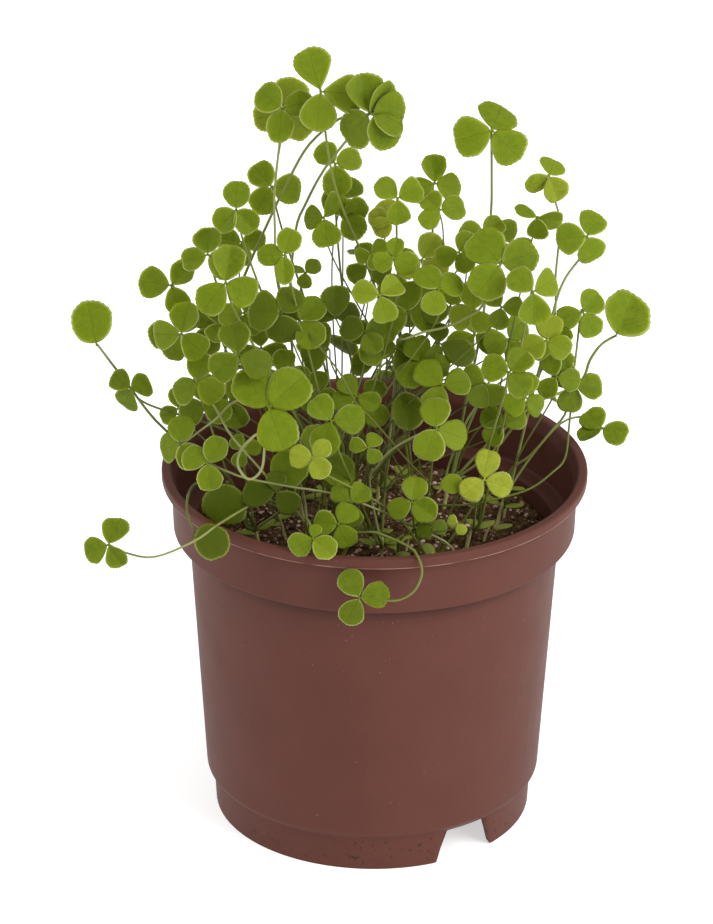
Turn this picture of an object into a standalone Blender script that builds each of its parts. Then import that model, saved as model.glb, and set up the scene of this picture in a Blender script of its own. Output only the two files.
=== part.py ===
"""Potted clover: a nursery pot, its soil, and twelve seedlings with their leaves.

A leaf is one grown piece: a long thin stalk and three flat leaflets, or one round blade on a first leaf.
A stem is one grown piece too: it comes out of the soil and carries the seedling's two seed leaves.
The origin is on the pot's axis, on the surface that the pot stands on. -Y is the front.
"""

from math import atan2, cos, pi, radians, sin

import bmesh
import bpy
from mathutils import Matrix, Vector

MM = 0.001
GAP = 0.35 * MM                 # between pieces that rest on each other

# --- pot ---
LIP_RADIUS = 60.0 * MM
LIP_INNER_RADIUS = 57.4 * MM
LIP_DEPTH = 2.9 * MM
POT_HEIGHT = 105.0 * MM
COLLAR_TOP_RADIUS = 57.2 * MM
COLLAR_BOTTOM_RADIUS = 56.7 * MM
COLLAR_BOTTOM = 87.0 * MM
BODY_TOP_RADIUS = 52.4 * MM
BODY_BOTTOM_RADIUS = 47.6 * MM
FOOT_HEIGHT = 11.3 * MM
FOOT_TOP_RADIUS = 45.6 * MM
FOOT_BOTTOM_RADIUS = 45.0 * MM
WALL = 1.4 * MM
FLOOR_TOP = 13.4 * MM
POT_SEGMENTS = 48

NOTCH_TOP_WIDTH = 12.5 * MM     # the two gaps in the foot ring that let water out
NOTCH_BOTTOM_WIDTH = 18.0 * MM
NOTCH_ANGLES = (radians(-54), radians(126))

DRAIN_RADIUS = 4.0 * MM         # holes in the floor
DRAIN_CIRCLE = 30.0 * MM
DRAIN_COUNT = 5

# --- soil ---
SOIL_TOP = 82.0 * MM
SOIL_CROWN = 1.2 * MM           # the soil stands this much higher at the pot's axis
SOIL_SEGMENTS = 36

# --- seedlings ---
STEM_RADIUS = 0.85 * MM
STEM_LEAN = 2.0 * MM
SEED_LEAF_LENGTH = 5.5 * MM
SEED_LEAF_WIDTH = 3.4 * MM
SEED_LEAF_THICKNESS = 0.8 * MM
STALK_RADIUS = 0.55 * MM
STALK_STEPS = 6
STALK_CIRCLE = 2.4 * MM         # the leaf stalks start this far from the stem's axis
STALK_SPREAD = radians(48)      # and at least this far apart round it
STALK_LEAN = 6.0 * MM           # how far a stalk leans away from its stem on the way up
STALK_RISE = 0.42               # of the stalk's reach: how far it climbs before it bends over
STALK_ARRIVAL = 0.16            # of the reach: how far it comes up to the leaf from behind and below
BLADE_THICKNESS = 0.5 * MM
BLADE_STEPS = 7                 # points round a leaflet
BLADE_SINK = 0.15               # the blade sinks this much behind the leaf's plane, per unit from its middle
NECK_RADIUS = 0.8 * MM          # where the leaflets meet
NECK_LENGTH = 2.2 * MM          # the stalk's last stretch, square to the blade
LEAFLET_WIDTH = 0.94            # of a leaflet's length
ROUND_BLADE_WIDTH = 0.98
LEAFLET_TAPER = 0.42            # how much narrower a leaflet is toward its base than a circle
LEAFLET_DRAW = 0.78             # under 1 draws the base out and moves the widest part outward
LEAFLET_START = 48              # degrees round from the base to the first point of the outline

# Where each seedling comes up, in mm from the pot's axis, and how tall its stem is.
STEMS = {
    "a": (-32, -10, 9),
    "b": (-20, 8, 10),
    "c": (-17, -20, 8),
    "d": (-7, -5, 10),
    "e": (1, 12, 11),
    "f": (2, -16, 8),
    "g": (11, 0, 10),
    "h": (15, -25, 8),
    "i": (20, 17, 10),
    "j": (26, -8, 9),
    "k": (35, 7, 9),
    "l": (-8, 28, 10),
}

# One row for a leaf: its seedling, the middle of the leaf where the leaflets meet (mm), the leaflets' length
# (mm), which way the face looks (degrees round from the front toward +X, degrees down from straight up), and
# the direction of each leaflet in the leaf's own plane, in degrees anticlockwise from level.
LEAVES = [
    # the tall middle
    ("e", (-11.5, 12, 190.5), 8.4, (5, 58), (125, 15, 262)),
    ("l", (-29, 6, 187), 8.1, (-8, 62), (133, 357, 240)),
    ("d", (-38.5, -8, 186), 9.0, (-5, 60), (95, 208, 335)),
    ("g", (5, -10, 191), 7.6, (5, 60), (137, 28, 272)),
    ("g", (16, 2, 190), 7.8, (12, 62), (90, 196, 345)),
    ("i", (47, 8, 189), 7.8, (15, 55), (42, 194, 290)),
    ("k", (58, -4, 177), 9.2, (12, 60), (64, 183, 285)),
    ("h", (33.5, -24, 177), 11.6, (4, 58), (128, 20, 234)),
    ("j", (42.5, -31, 171.5), 8.9, (15, 60), (129, 22, 266)),
    ("f", (0.5, -28, 169), 7.9, (0, 56), (155, 48, 280)),
    ("d", (-25, -22, 178.5), 8.0, (-12, 58), (78, 176, 272)),
    ("b", (-46.5, -5, 171.5), 8.4, (-14, 58), (97, 210, 340)),
    ("d", (-41, -27, 172.5), 10.1, (-6, 60), (83, 210, 326)),
    ("l", (-56.5, 4, 158), 8.7, (-20, 62), (180, 55, 305)),
    # the left side
    ("a", (-53.5, -18, 153), 8.6, (-12, 60), (82, 185, 325)),
    ("a", (-49, -22, 140.5), 8.2, (-10, 56), (86, 212, 334)),
    ("b", (-67.5, -14, 134.5), 7.2, (-18, 60), (152, 32, 260)),
    ("c", (-54, -26, 122.5), 8.1, (-16, 58), (80, 200, 315)),
    ("c", (-46, -37, 121.5), 7.8, (-14, 56), (62, 160, 285)),
    ("c", (-29, -40, 139.5), 11.9, (-4, 54), (141, 38, 294)),
    ("f", (-12, -35, 135), 9.5, (-2, 56), (124, 10, 254)),
    # the middle and the front
    ("f", (15.5, -33, 132), 9.3, (5, 55), (90, 342, 245)),
    ("h", (30, -34, 117), 8.6, (6, 56), (77, 214, 340)),
    ("h", (9, -36, 112), 7.6, (-4, 52), (82, 206, 328)),
    ("h", (-17, -47, 128), 6.4, (-5, 60), (52, 172, 312)),
    # the right side
    ("j", (36, -35, 150), 8.0, (8, 55), (160, 48, 306)),
    ("k", (56.5, 2, 129.5), 7.6, (16, 58), (132, 357, 248)),
    ("k", (59, 10, 148), 7.8, (18, 60), (54, 172, 285)),
    # the back
    ("l", (-38, 34, 127.5), 9.6, (-150, 42), (90, 210, 330)),
    ("l", (-14, 46, 123.5), 10.2, (175, 45), (80, 200, 320)),
    ("i", (37.5, 40, 126), 9.2, (140, 42), (85, 205, 325)),
    ("e", (1.5, 30, 157), 10.0, (180, 30), (90, 210, 330)),
]

# Leaves whose stalks have a route of their own (mm), stem end first, ending at the middle of the leaf.
ROUTED_LEAVES = [
    # the tallest, whose stalks cross each other
    ("g", [(8, 4, 115), (4.5, 5, 137.5), (0, 4, 157), (-4.5, 0, 171), (-10, -5, 187), (-13, -8, 200.5),
           (-15.5, -6, 220)], 11.6, (0, 62), (103, 355, 260)),
    ("d", [(-9, -2, 112), (-18, -1, 134.5), (-27, 0, 159), (-28, 0, 176.5), (-28, 0, 189.5), (-26, -2, 213.5)],
     9.2, (-10, 60), (135, 22, 268)),
    ("a", [(-38, 2, 110.5), (-42, 10, 128.5), (-41, 11, 145), (-36, 8, 161), (-30, 3, 177.5), (-24, -1, 192.5),
           (-18.5, -2, 203), (-10.5, 2, 209), (-3, -3, 212.5)], 11.1, (10, 66), (98, 217, 313)),
    ("b", [(-22, 7, 120), (-24, 6, 149.5), (-22.5, 5, 173.5), (-19.5, 4, 183), (-14.5, 3, 193.5), (-7.5, 4, 203),
           (0, 4, 207), (7.5, 1, 211), (7, -3, 213.5), (5.5, -8, 215)], 8.2, (30, 70), (148, 52, 256)),
    ("i", [(25.5, 9, 120), (30, 4, 149.5), (31.5, 2, 180.5), (31.5, 1, 192), (31, 0, 207)],
     10.9, (8, 64), (68, 196, 310)),
    # far left, one round blade high on a long stalk
    ("a", [(-41, -9, 105.5), (-49, -17, 116.5), (-60, -24, 130.5), (-68.5, -28, 145), (-75, -30, 156)],
     12.0, (-12, 62), (97,)),
    # far right, one round blade high behind
    ("i", [(33, 25, 100.5), (46, 34, 107.5), (57, 42, 113.5), (63.5, 48, 118.5), (69, 51, 125)],
     13.5, (20, 60), (42,)),
    # left, hanging against the outside of the lip
    ("a", [(-38, -20, 103), (-45, -23, 108.5), (-51.5, -29, 109.5), (-51, -36, 106.5), (-50.5, -40.5, 104)],
     10.3, (-45, 82), (352,)),
    # low left, out over the lip
    ("a", [(-33, -26, 104), (-39, -41, 112), (-49, -48, 107), (-60, -49, 102.5), (-68, -47.5, 102),
           (-72, -51, 104.5)], 7.8, (-10, 62), (68, 200, 305)),
    # front, looping down over the lip
    ("h", [(12, -45, 103), (12, -53, 108), (12.5, -58.5, 108), (13.5, -62, 104), (12.5, -62.5, 98.5),
           (8, -62.2, 96.5), (1, -62, 96), (-4, -64.2, 96.5)], 8.5, (0, 78), (115, 16, 240)),
    # front left, leaning on the lip
    ("c", [(-19, -36, 104), (-18, -48, 111), (-17, -56.5, 110.5)], 6.6, (-6, 58), (205, 322, 80)),
    # low right, just past the lip
    ("k", [(45, 15, 101.5), (53, 19, 109.5), (60, 21, 110.5), (65, 16, 110.5)], 7.5, (12, 60), (118, 214, 345)),
    # back right, with its leaves just past the lip
    ("l", [(-4, 44, 104), (2, 54, 111), (6, 60, 109), (8, 63.5, 104)], 9.0, (170, 62), (90, 210, 330)),
    ("i", [(27, 36, 103), (36, 45, 110), (42, 49, 110), (46, 51, 106)], 8.5, (150, 40), (90, 205, 330)),
]


def new_collection(name):
    collection = bpy.data.collections.new(name)
    bpy.context.scene.collection.children.link(collection)
    return collection


def new_material(name, colour, roughness):
    material = bpy.data.materials.new(name)
    material.use_nodes = True
    principled = material.node_tree.nodes["Principled BSDF"]
    principled.inputs["Base Color"].default_value = (*colour, 1.0)
    principled.inputs["Roughness"].default_value = roughness
    principled.inputs["Metallic"].default_value = 0.0
    return material


def new_object(name, mesh, collection, material=None):
    thing = bpy.data.objects.new(name, mesh)
    collection.objects.link(thing)
    if material:
        mesh.materials.append(material)
    return thing


def shade_round(mesh, sharp_angle=40):
    mesh.shade_smooth()
    mesh.set_sharp_from_angle(angle=radians(sharp_angle))


def turned(name, profile, segments, collection, material):
    """A solid of revolution from a profile of (radius, height) points that runs down its outer side."""
    mesh = bpy.data.meshes.new(name)
    points = [(radius, 0.0, height) for radius, height in profile]
    mesh.from_pydata(points, [(i, i + 1) for i in range(len(points) - 1)], [])
    solid = new_object(name, mesh, collection, material)
    screw = solid.modifiers.new("turn", "SCREW")
    screw.steps = screw.render_steps = segments
    screw.use_merge_vertices = True
    screw.merge_threshold = 0.00001
    return solid


def subtract(solid, cutter, name):
    cutter.hide_render = True
    cutter.display_type = "WIRE"
    cut = solid.modifiers.new(name, "BOOLEAN")
    cut.operation = "DIFFERENCE"
    cut.object = cutter


def build_pot(collection, cutters):
    collar_inner = COLLAR_BOTTOM_RADIUS - WALL
    foot_inner = FOOT_BOTTOM_RADIUS - WALL
    profile = [
        (0.0, FLOOR_TOP),
        (BODY_BOTTOM_RADIUS - WALL - 0.3 * MM, FLOOR_TOP),
        (BODY_BOTTOM_RADIUS - WALL, FLOOR_TOP + 1.5 * MM),
        (BODY_TOP_RADIUS - WALL, COLLAR_BOTTOM - 0.5 * MM),
        (collar_inner, COLLAR_BOTTOM + 0.8 * MM),
        (COLLAR_TOP_RADIUS - WALL, POT_HEIGHT - 4.0 * MM),
        (LIP_INNER_RADIUS - 0.3 * MM, POT_HEIGHT - 0.9 * MM),
        (LIP_INNER_RADIUS + 0.4 * MM, POT_HEIGHT),
        (LIP_RADIUS - 0.8 * MM, POT_HEIGHT),
        (LIP_RADIUS, POT_HEIGHT - 0.8 * MM),
        (LIP_RADIUS, POT_HEIGHT - LIP_DEPTH),
        (COLLAR_TOP_RADIUS, POT_HEIGHT - LIP_DEPTH - 0.6 * MM),
        (COLLAR_BOTTOM_RADIUS, COLLAR_BOTTOM + 0.5 * MM),
        (COLLAR_BOTTOM_RADIUS - 0.7 * MM, COLLAR_BOTTOM),
        (BODY_TOP_RADIUS, COLLAR_BOTTOM - 0.8 * MM),
        (BODY_BOTTOM_RADIUS, FOOT_HEIGHT + 3.2 * MM),
        (BODY_BOTTOM_RADIUS - 0.6 * MM, FOOT_HEIGHT + 0.9 * MM),
        (FOOT_TOP_RADIUS, FOOT_HEIGHT),
        (FOOT_BOTTOM_RADIUS, 0.0),
        (foot_inner, 0.0),
        (foot_inner + 0.3 * MM, FLOOR_TOP - WALL),
        (0.0, FLOOR_TOP - WALL),
    ]
    plastic = new_material("pot_plastic", (0.178, 0.062, 0.047), 0.55)
    pot = turned("pot", profile, POT_SEGMENTS, collection, plastic)

    for index, angle in enumerate(NOTCH_ANGLES, start=1):
        mesh = bpy.data.meshes.new(f"notch_cutter_{index}")
        wedge = bmesh.new()
        bmesh.ops.create_cube(wedge, size=1.0)
        for corner in wedge.verts:
            width = NOTCH_TOP_WIDTH if corner.co.z > 0 else NOTCH_BOTTOM_WIDTH
            corner.co.x *= 12 * MM
            corner.co.y *= width
            corner.co.z = FOOT_HEIGHT if corner.co.z > 0 else -1.0 * MM
        wedge.to_mesh(mesh)
        wedge.free()
        cutter = new_object(mesh.name, mesh, cutters)
        cutter.location = (cos(angle) * FOOT_TOP_RADIUS, sin(angle) * FOOT_TOP_RADIUS, 0.0)
        cutter.rotation_euler.z = angle
        subtract(pot, cutter, f"notch_{index}")

    for index in range(DRAIN_COUNT):
        angle = 2 * pi * index / DRAIN_COUNT
        mesh = bpy.data.meshes.new(f"drain_cutter_{index + 1}")
        plug = bmesh.new()
        bmesh.ops.create_cone(plug, cap_ends=True, segments=8, radius1=DRAIN_RADIUS, radius2=DRAIN_RADIUS,
                              depth=6 * MM)
        plug.to_mesh(mesh)
        plug.free()
        cutter = new_object(mesh.name, mesh, cutters)
        cutter.location = (cos(angle) * DRAIN_CIRCLE, sin(angle) * DRAIN_CIRCLE, FLOOR_TOP - WALL / 2)
        subtract(pot, cutter, f"drain_{index + 1}")
    return pot


def soil_height(radius):
    """The soil's surface is a low dome that is highest at the pot's axis."""
    edge = BODY_TOP_RADIUS - WALL
    return SOIL_TOP + SOIL_CROWN * (1 - (radius / edge) ** 2)


def build_soil(collection):
    lower = BODY_BOTTOM_RADIUS - WALL - GAP
    slope = (BODY_TOP_RADIUS - BODY_BOTTOM_RADIUS) / (COLLAR_BOTTOM - FLOOR_TOP)
    edge = lower + slope * (SOIL_TOP - FLOOR_TOP - 3 * MM)
    profile = [(radius, soil_height(radius)) for radius in (0.0, 18 * MM, 36 * MM, edge - 1 * MM)]
    profile += [
        (edge, SOIL_TOP - 1 * MM),
        (lower, FLOOR_TOP + 2.2 * MM),
        (lower - 0.6 * MM, FLOOR_TOP + GAP),
        (0.0, FLOOR_TOP + GAP),
    ]
    peat = new_material("soil_peat", (0.022, 0.012, 0.008), 0.95)
    return turned("soil", profile, SOIL_SEGMENTS, collection, peat)


def welded_mesh(name, curve):
    """The curve's evaluated shape as a mesh whose caps are welded to its sides; the curve is removed."""
    guide = bpy.data.objects.new(name, curve)
    bpy.context.scene.collection.objects.link(guide)
    bpy.context.view_layer.update()
    mesh = bpy.data.meshes.new_from_object(guide.evaluated_get(bpy.context.evaluated_depsgraph_get()))
    bpy.data.objects.remove(guide)
    bpy.data.curves.remove(curve)
    weld = bmesh.new()
    weld.from_mesh(mesh)
    bmesh.ops.remove_doubles(weld, verts=weld.verts, dist=0.00001)
    bmesh.ops.recalc_face_normals(weld, faces=weld.faces)
    weld.to_mesh(mesh)
    weld.free()
    return mesh


def tube_mesh(name, points, radii):
    """A closed round tube through the points."""
    curve = bpy.data.curves.new(name, "CURVE")
    curve.dimensions = "3D"
    curve.bevel_depth = 1.0
    curve.bevel_resolution = 1
    curve.use_fill_caps = True
    spline = curve.splines.new("POLY")
    spline.points.add(len(points) - 1)
    for point, place, radius in zip(spline.points, points, radii):
        point.co = (*place, 1.0)
        point.radius = radius
    return welded_mesh(name, curve)


def grown_together(name, main_mesh, other_meshes, collection, material):
    """One closed body: the main mesh joined to the others by Boolean unions."""
    main = bpy.data.objects.new(name, main_mesh)
    bpy.context.scene.collection.objects.link(main)
    others = []
    for mesh in other_meshes:
        other = bpy.data.objects.new(mesh.name, mesh)
        bpy.context.scene.collection.objects.link(other)
        others.append(other)
        union = main.modifiers.new("join", "BOOLEAN")
        union.operation = "UNION"
        union.object = other
    bpy.context.view_layer.update()
    joined = bpy.data.meshes.new_from_object(main.evaluated_get(bpy.context.evaluated_depsgraph_get()))
    joined.name = name
    joined.materials.clear()
    for thing in [main, *others]:
        bpy.data.objects.remove(thing)
    shade_round(joined)
    return new_object(name, joined, collection, material)


def leaf_outline(length, directions):
    """The leaf's outline seen square on, with the leaflets' meeting point at the origin.

    A leaflet is a circle drawn out toward its base: egg-shaped, widest past its middle.
    """
    width = length * (LEAFLET_WIDTH if len(directions) > 1 else ROUND_BLADE_WIDTH)
    step_angle = (360 - 2 * LEAFLET_START) / (BLADE_STEPS - 1)
    points = []
    for direction in sorted(directions):
        turn = Matrix.Rotation(radians(direction), 2)
        points.append(turn @ Vector((0.8 * NECK_RADIUS, -0.6 * NECK_RADIUS)))
        for step in range(BLADE_STEPS):
            angle = radians(LEAFLET_START + step * step_angle)
            along = (1 - cos(angle)) / 2
            taper = 1 - LEAFLET_TAPER * (1 - along) ** 2
            points.append(turn @ Vector((length * along ** LEAFLET_DRAW, -width / 2 * sin(angle) * taper)))
        points.append(turn @ Vector((0.8 * NECK_RADIUS, 0.6 * NECK_RADIUS)))
    if len(directions) == 1:
        points.append(turn @ Vector((-NECK_RADIUS, 0.0)))
    return points


def blade_mesh(name, length, directions, frame):
    """The leaf's flat part: its outline as thick as a blade, sinking a little away from the middle."""
    curve = bpy.data.curves.new(name, "CURVE")
    curve.dimensions = "2D"
    curve.fill_mode = "BOTH"
    curve.extrude = BLADE_THICKNESS / 2
    outline = leaf_outline(length, directions)
    spline = curve.splines.new("POLY")
    spline.points.add(len(outline) - 1)
    for point, place in zip(spline.points, outline):
        point.co = (*place, 0.0, 1.0)
    spline.use_cyclic_u = True
    mesh = welded_mesh(name, curve)
    for vertex in mesh.vertices:
        vertex.co.z -= BLADE_SINK * vertex.co.xy.length
    mesh.transform(frame)
    return mesh


def seed_leaf_mesh(name, frame):
    ball = bmesh.new()
    bmesh.ops.create_uvsphere(ball, u_segments=8, v_segments=3, radius=0.5)
    shape = Matrix.Diagonal((SEED_LEAF_LENGTH, SEED_LEAF_WIDTH, SEED_LEAF_THICKNESS, 1.0))
    bmesh.ops.transform(ball, matrix=frame @ Matrix.Translation((SEED_LEAF_LENGTH / 2, 0, 0)) @ shape,
                        verts=ball.verts)
    mesh = bpy.data.meshes.new(name)
    ball.to_mesh(mesh)
    ball.free()
    return mesh


def stem_foot(stem):
    x, y, _ = STEMS[stem]
    radius = Vector((x, y)).length * MM
    return Vector((x * MM, y * MM, soil_height(radius) + GAP))


def stem_top(stem):
    """A stem leans outward by the same amount for every seedling."""
    foot = stem_foot(stem)
    outward = Vector((foot.x, foot.y, 0)).normalized()
    return foot + outward * STEM_LEAN + Vector((0, 0, STEMS[stem][2] * MM))


def build_stem(stem, index, collection, material):
    foot = stem_foot(stem)
    top = stem_top(stem)
    middle = foot.lerp(top, 0.5) + Vector((0, 0, 0.4 * MM))
    radii = (STEM_RADIUS * 1.15, STEM_RADIUS, STEM_RADIUS * 0.9)
    name = f"stem_{stem}"
    main = tube_mesh(name, (foot, middle, top), radii)
    turn = radians(40 + 137 * index)
    seed_leaves = []
    for side in (0, pi):
        frame = (Matrix.Translation(foot.lerp(top, 0.72)) @ Matrix.Rotation(turn + side, 4, "Z")
                 @ Matrix.Rotation(radians(-14), 4, "Y"))
        seed_leaves.append(seed_leaf_mesh(f"{name}_seed_leaf", frame))
    return grown_together(name, main, seed_leaves, collection, material)


def leaf_plane(turn, tilt):
    """The leaf's own axes: level across, up along the face, and out of the face."""
    out = Vector((sin(turn) * sin(tilt), -cos(turn) * sin(tilt), cos(tilt)))
    across = Vector((cos(turn), sin(turn), 0.0))
    up = out.cross(across)
    return across, up, out


def stalk_route(start, lean, end, out):
    """A stalk leans away from its stem, rises steeply, arches outward and meets the leaf from behind."""
    reach = (end - start).length
    level = Vector((end.x - start.x, end.y - start.y, 0))
    first = start + Vector((0, 0, STALK_RISE * reach)) + 0.10 * level + STALK_LEAN * lean
    last = end - STALK_ARRIVAL * reach * (0.5 * out + Vector((0, 0, 0.9)))
    route = []
    for step in range(STALK_STEPS):
        t = step / (STALK_STEPS - 1)
        route.append((1 - t) ** 3 * start + 3 * t * (1 - t) ** 2 * first
                     + 3 * t * t * (1 - t) * last + t ** 3 * end)
    return route


def build_leaf(name, route, length, facing, directions, collection, material):
    across, up, out = leaf_plane(*(radians(angle) for angle in facing))
    frame = Matrix((across, up, out)).transposed().to_4x4()
    frame.translation = route[-1]
    blade = blade_mesh(f"{name}_blade", length, directions, frame)
    stalk = tube_mesh(name, route, [STALK_RADIUS] * len(route))
    return grown_together(name, stalk, [blade], collection, material)


def all_leaves():
    """Every leaf as (stem, route points after the stem or None, base, length, facing, directions)."""
    for stem, hub, length, facing, directions in LEAVES:
        yield stem, None, Vector(hub) * MM, length * MM, facing, directions
    for stem, route, length, facing, directions in ROUTED_LEAVES:
        points = [Vector(point) * MM for point in route]
        yield stem, points, points[-1], length * MM, facing, directions


def spread_out(angles, least):
    """The sorted angles, moved apart until neighbours round the circle differ by the least angle."""
    angles = list(angles)
    for _ in range(60):
        for index in range(len(angles)):
            following = (index + 1) % len(angles)
            missing = least - (angles[following] - angles[index]) % (2 * pi)
            if missing > 0 and len(angles) > 1:
                angles[index] -= missing / 2
                angles[following] += missing / 2
    return angles


def build_leaves(collection, material):
    rows = list(all_leaves())
    for stem in STEMS:
        top = stem_top(stem)
        bearings = {}
        for index, (own_stem, points, base, *_) in enumerate(rows):
            aim = points[0] if points else base
            if own_stem == stem:
                bearings[index] = atan2(aim.y - top.y, aim.x - top.x)
        order = sorted(bearings, key=bearings.get)
        angles = spread_out([bearings[index] for index in order], STALK_SPREAD)
        for index, angle in zip(order, angles):
            _, points, base, length, facing, directions = rows[index]
            lean = Vector((cos(angle), sin(angle), 0))
            start = top + lean * STALK_CIRCLE
            _, _, out = leaf_plane(*(radians(a) for a in facing))
            neck = base - out * NECK_LENGTH
            route = [start, *points[:-1], neck] if points else stalk_route(start, lean, neck, out)
            route.append(base)
            build_leaf(f"leaf_{index + 1:02d}", route, length, facing, directions, collection, material)


def build_potted_clover():
    for thing in list(bpy.data.objects):
        bpy.data.objects.remove(thing)
    collection = new_collection("potted_clover")
    cutters = new_collection("cutters")
    build_pot(collection, cutters)
    build_soil(collection)
    stem_green = new_material("stem_pale_green", (0.245, 0.300, 0.090), 0.5)
    leaf_green = new_material("leaf_green", (0.160, 0.255, 0.018), 0.5)
    for index, stem in enumerate(STEMS):
        build_stem(stem, index, collection, stem_green)
    build_leaves(collection, leaf_green)


build_potted_clover()
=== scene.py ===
"""Potted clover: a nursery pot, its soil and the seedlings with every leaf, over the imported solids."""

from math import atan2, cos, pi, radians, sin

import bmesh
import bpy
import numpy as np
from mathutils import Matrix, Vector


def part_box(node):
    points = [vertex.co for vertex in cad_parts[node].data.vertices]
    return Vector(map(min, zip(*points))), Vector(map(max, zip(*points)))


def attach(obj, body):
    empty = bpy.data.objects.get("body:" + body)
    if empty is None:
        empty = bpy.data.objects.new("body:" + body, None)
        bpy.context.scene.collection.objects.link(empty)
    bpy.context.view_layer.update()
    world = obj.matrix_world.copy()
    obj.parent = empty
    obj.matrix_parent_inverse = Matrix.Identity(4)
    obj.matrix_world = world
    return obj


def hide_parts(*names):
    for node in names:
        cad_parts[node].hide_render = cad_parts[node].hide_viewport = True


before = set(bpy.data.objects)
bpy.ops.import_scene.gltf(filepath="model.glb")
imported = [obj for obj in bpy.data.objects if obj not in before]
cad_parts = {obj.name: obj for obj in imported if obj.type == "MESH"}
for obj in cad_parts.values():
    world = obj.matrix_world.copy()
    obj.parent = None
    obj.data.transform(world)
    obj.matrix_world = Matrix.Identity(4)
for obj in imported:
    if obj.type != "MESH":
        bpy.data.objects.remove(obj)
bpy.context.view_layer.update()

MM = 0.001
BODY = "root"


# --- Camera, floor and light ---
# A long lens looks down on the pot from a little above. The plant stands on a pale seamless floor in an even
# white surround, with a large soft lamp in front to its right.

AIM = Vector((-5.1, 0.0, 105.9)) * MM
VIEW_ELEVATION = radians(25.5)
VIEW_DISTANCE = 1.5
VIEW_ROLL = radians(0.38)
LENS_LENGTH = 207.7
SURROUND_STRENGTH = 0.66
FLOOR_REACH = 6.0

camera = bpy.data.objects.new("camera", bpy.data.cameras.new("camera"))
bpy.context.scene.collection.objects.link(camera)
sight = Vector((0.0, cos(VIEW_ELEVATION), -sin(VIEW_ELEVATION)))
camera.matrix_world = (
    Matrix.Translation(AIM - VIEW_DISTANCE * sight)
    @ sight.to_track_quat("-Z", "Y").to_matrix().to_4x4()
    @ Matrix.Rotation(VIEW_ROLL, 4, "Z")
)
camera.data.lens = LENS_LENGTH
camera.data.sensor_width = 36.0
camera.data.clip_end = 20.0
bpy.context.scene.camera = camera
bpy.context.scene.view_settings.view_transform = "Standard"

surround = bpy.data.worlds.new("white_surround")
surround.use_nodes = True
background = surround.node_tree.nodes["Background"]
background.inputs["Color"].default_value = (1.0, 1.0, 1.0, 1.0)
background.inputs["Strength"].default_value = SURROUND_STRENGTH
bpy.context.scene.world = surround


def soft_lamp(name, place, power, size):
    """A square lamp at a place in metres, turned to the middle of the pot."""
    lamp = bpy.data.objects.new(name, bpy.data.lights.new(name, "AREA"))
    lamp.data.energy = power
    lamp.data.size = size
    lamp.location = place
    lamp.rotation_euler = (AIM - Vector(place)).to_track_quat("-Z", "Y").to_euler()
    bpy.context.scene.collection.objects.link(lamp)


soft_lamp("key_lamp", (1.3, -0.9, 1.2), 34.0, 1.3)
soft_lamp("fill_lamp", (-1.5, 0.1, 0.8), 9.0, 0.9)


class Field:
    """A number or colour that changes over a surface: one output of a shader node.

    Arithmetic on it adds Math nodes; every other node comes from node().
    """

    def __init__(self, tree, socket=None):
        self.tree = tree
        self.socket = socket

    def node(self, kind, settings=None, inputs=None, output=0):
        """One output of a new node: its settings or ramp stops are set first, then its sockets."""
        made = self.tree.nodes.new(kind)
        for name, value in (settings or {}).items():
            if name == "stops":
                ramp = made.color_ramp
                while len(ramp.elements) < len(value):
                    ramp.elements.new(0.5)
                for stop, (place, colour) in zip(ramp.elements, value):
                    stop.position = place
                    stop.color = (*colour, 1.0)
            else:
                setattr(made, name, value)
        for name, value in (inputs or {}).items():
            if isinstance(value, Field):
                self.tree.links.new(value.socket, made.inputs[name])
            else:
                made.inputs[name].default_value = value
        return Field(self.tree, made.outputs[output])

    def maths(self, operation, *values):
        return self.node("ShaderNodeMath", {"operation": operation}, dict(enumerate(values)))

    def __add__(self, other):
        return self.maths("ADD", self, other)

    def __sub__(self, other):
        return self.maths("SUBTRACT", self, other)

    def __rsub__(self, other):
        return self.maths("SUBTRACT", other, self)

    def __mul__(self, other):
        return self.maths("MULTIPLY", self, other)

    __radd__ = __add__
    __rmul__ = __mul__

    def absolute(self):
        return self.maths("ABSOLUTE", self)

    def ramp(self, low, high):
        """0 up to low and 1 from high on, easing between the two; low may be the larger."""
        return self.node("ShaderNodeMapRange", {"interpolation_type": "SMOOTHSTEP"},
                         {"Value": self, "From Min": low, "From Max": high})

    def place(self):
        """The point on the surface, in metres."""
        return self.node("ShaderNodeTexCoord", output="Object")

    def attribute(self, name):
        return self.node("ShaderNodeAttribute", {"attribute_name": name}, output="Fac")

    def noise(self, scale, detail=2.0, where=None):
        """Soft random values from 0 to 1; scale is in patches a metre."""
        return self.node("ShaderNodeTexNoise", {},
                         {"Vector": where or self.place(), "Scale": scale, "Detail": detail})

    def mix(self, factor, first, second, blend="MIX"):
        """The first colour where factor is 0 and the second where it is 1."""
        first, second = (c if isinstance(c, Field) else (*c, 1.0) for c in (first, second))
        return self.node("ShaderNodeMix", {"data_type": "RGBA", "blend_type": blend},
                         {0: factor, 6: first, 7: second}, output=2)

    def bump(self, height, strength, distance):
        return self.node("ShaderNodeBump", {},
                         {"Height": height, "Strength": strength, "Distance": distance})


def new_material(name):
    """A material, its Principled shader, and a Field that starts its patterns."""
    material = bpy.data.materials.new(name)
    material.use_nodes = True
    shader = material.node_tree.nodes["Principled BSDF"]
    return material, shader, Field(material.node_tree)


def feed(shader, **sockets):
    """Links fields into the shader's sockets, or sets them; an underscore stands for a space."""
    for name, value in sockets.items():
        socket = shader.inputs[name.replace("_", " ")]
        if isinstance(value, Field):
            value.tree.links.new(value.socket, socket)
        else:
            socket.default_value = value


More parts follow.
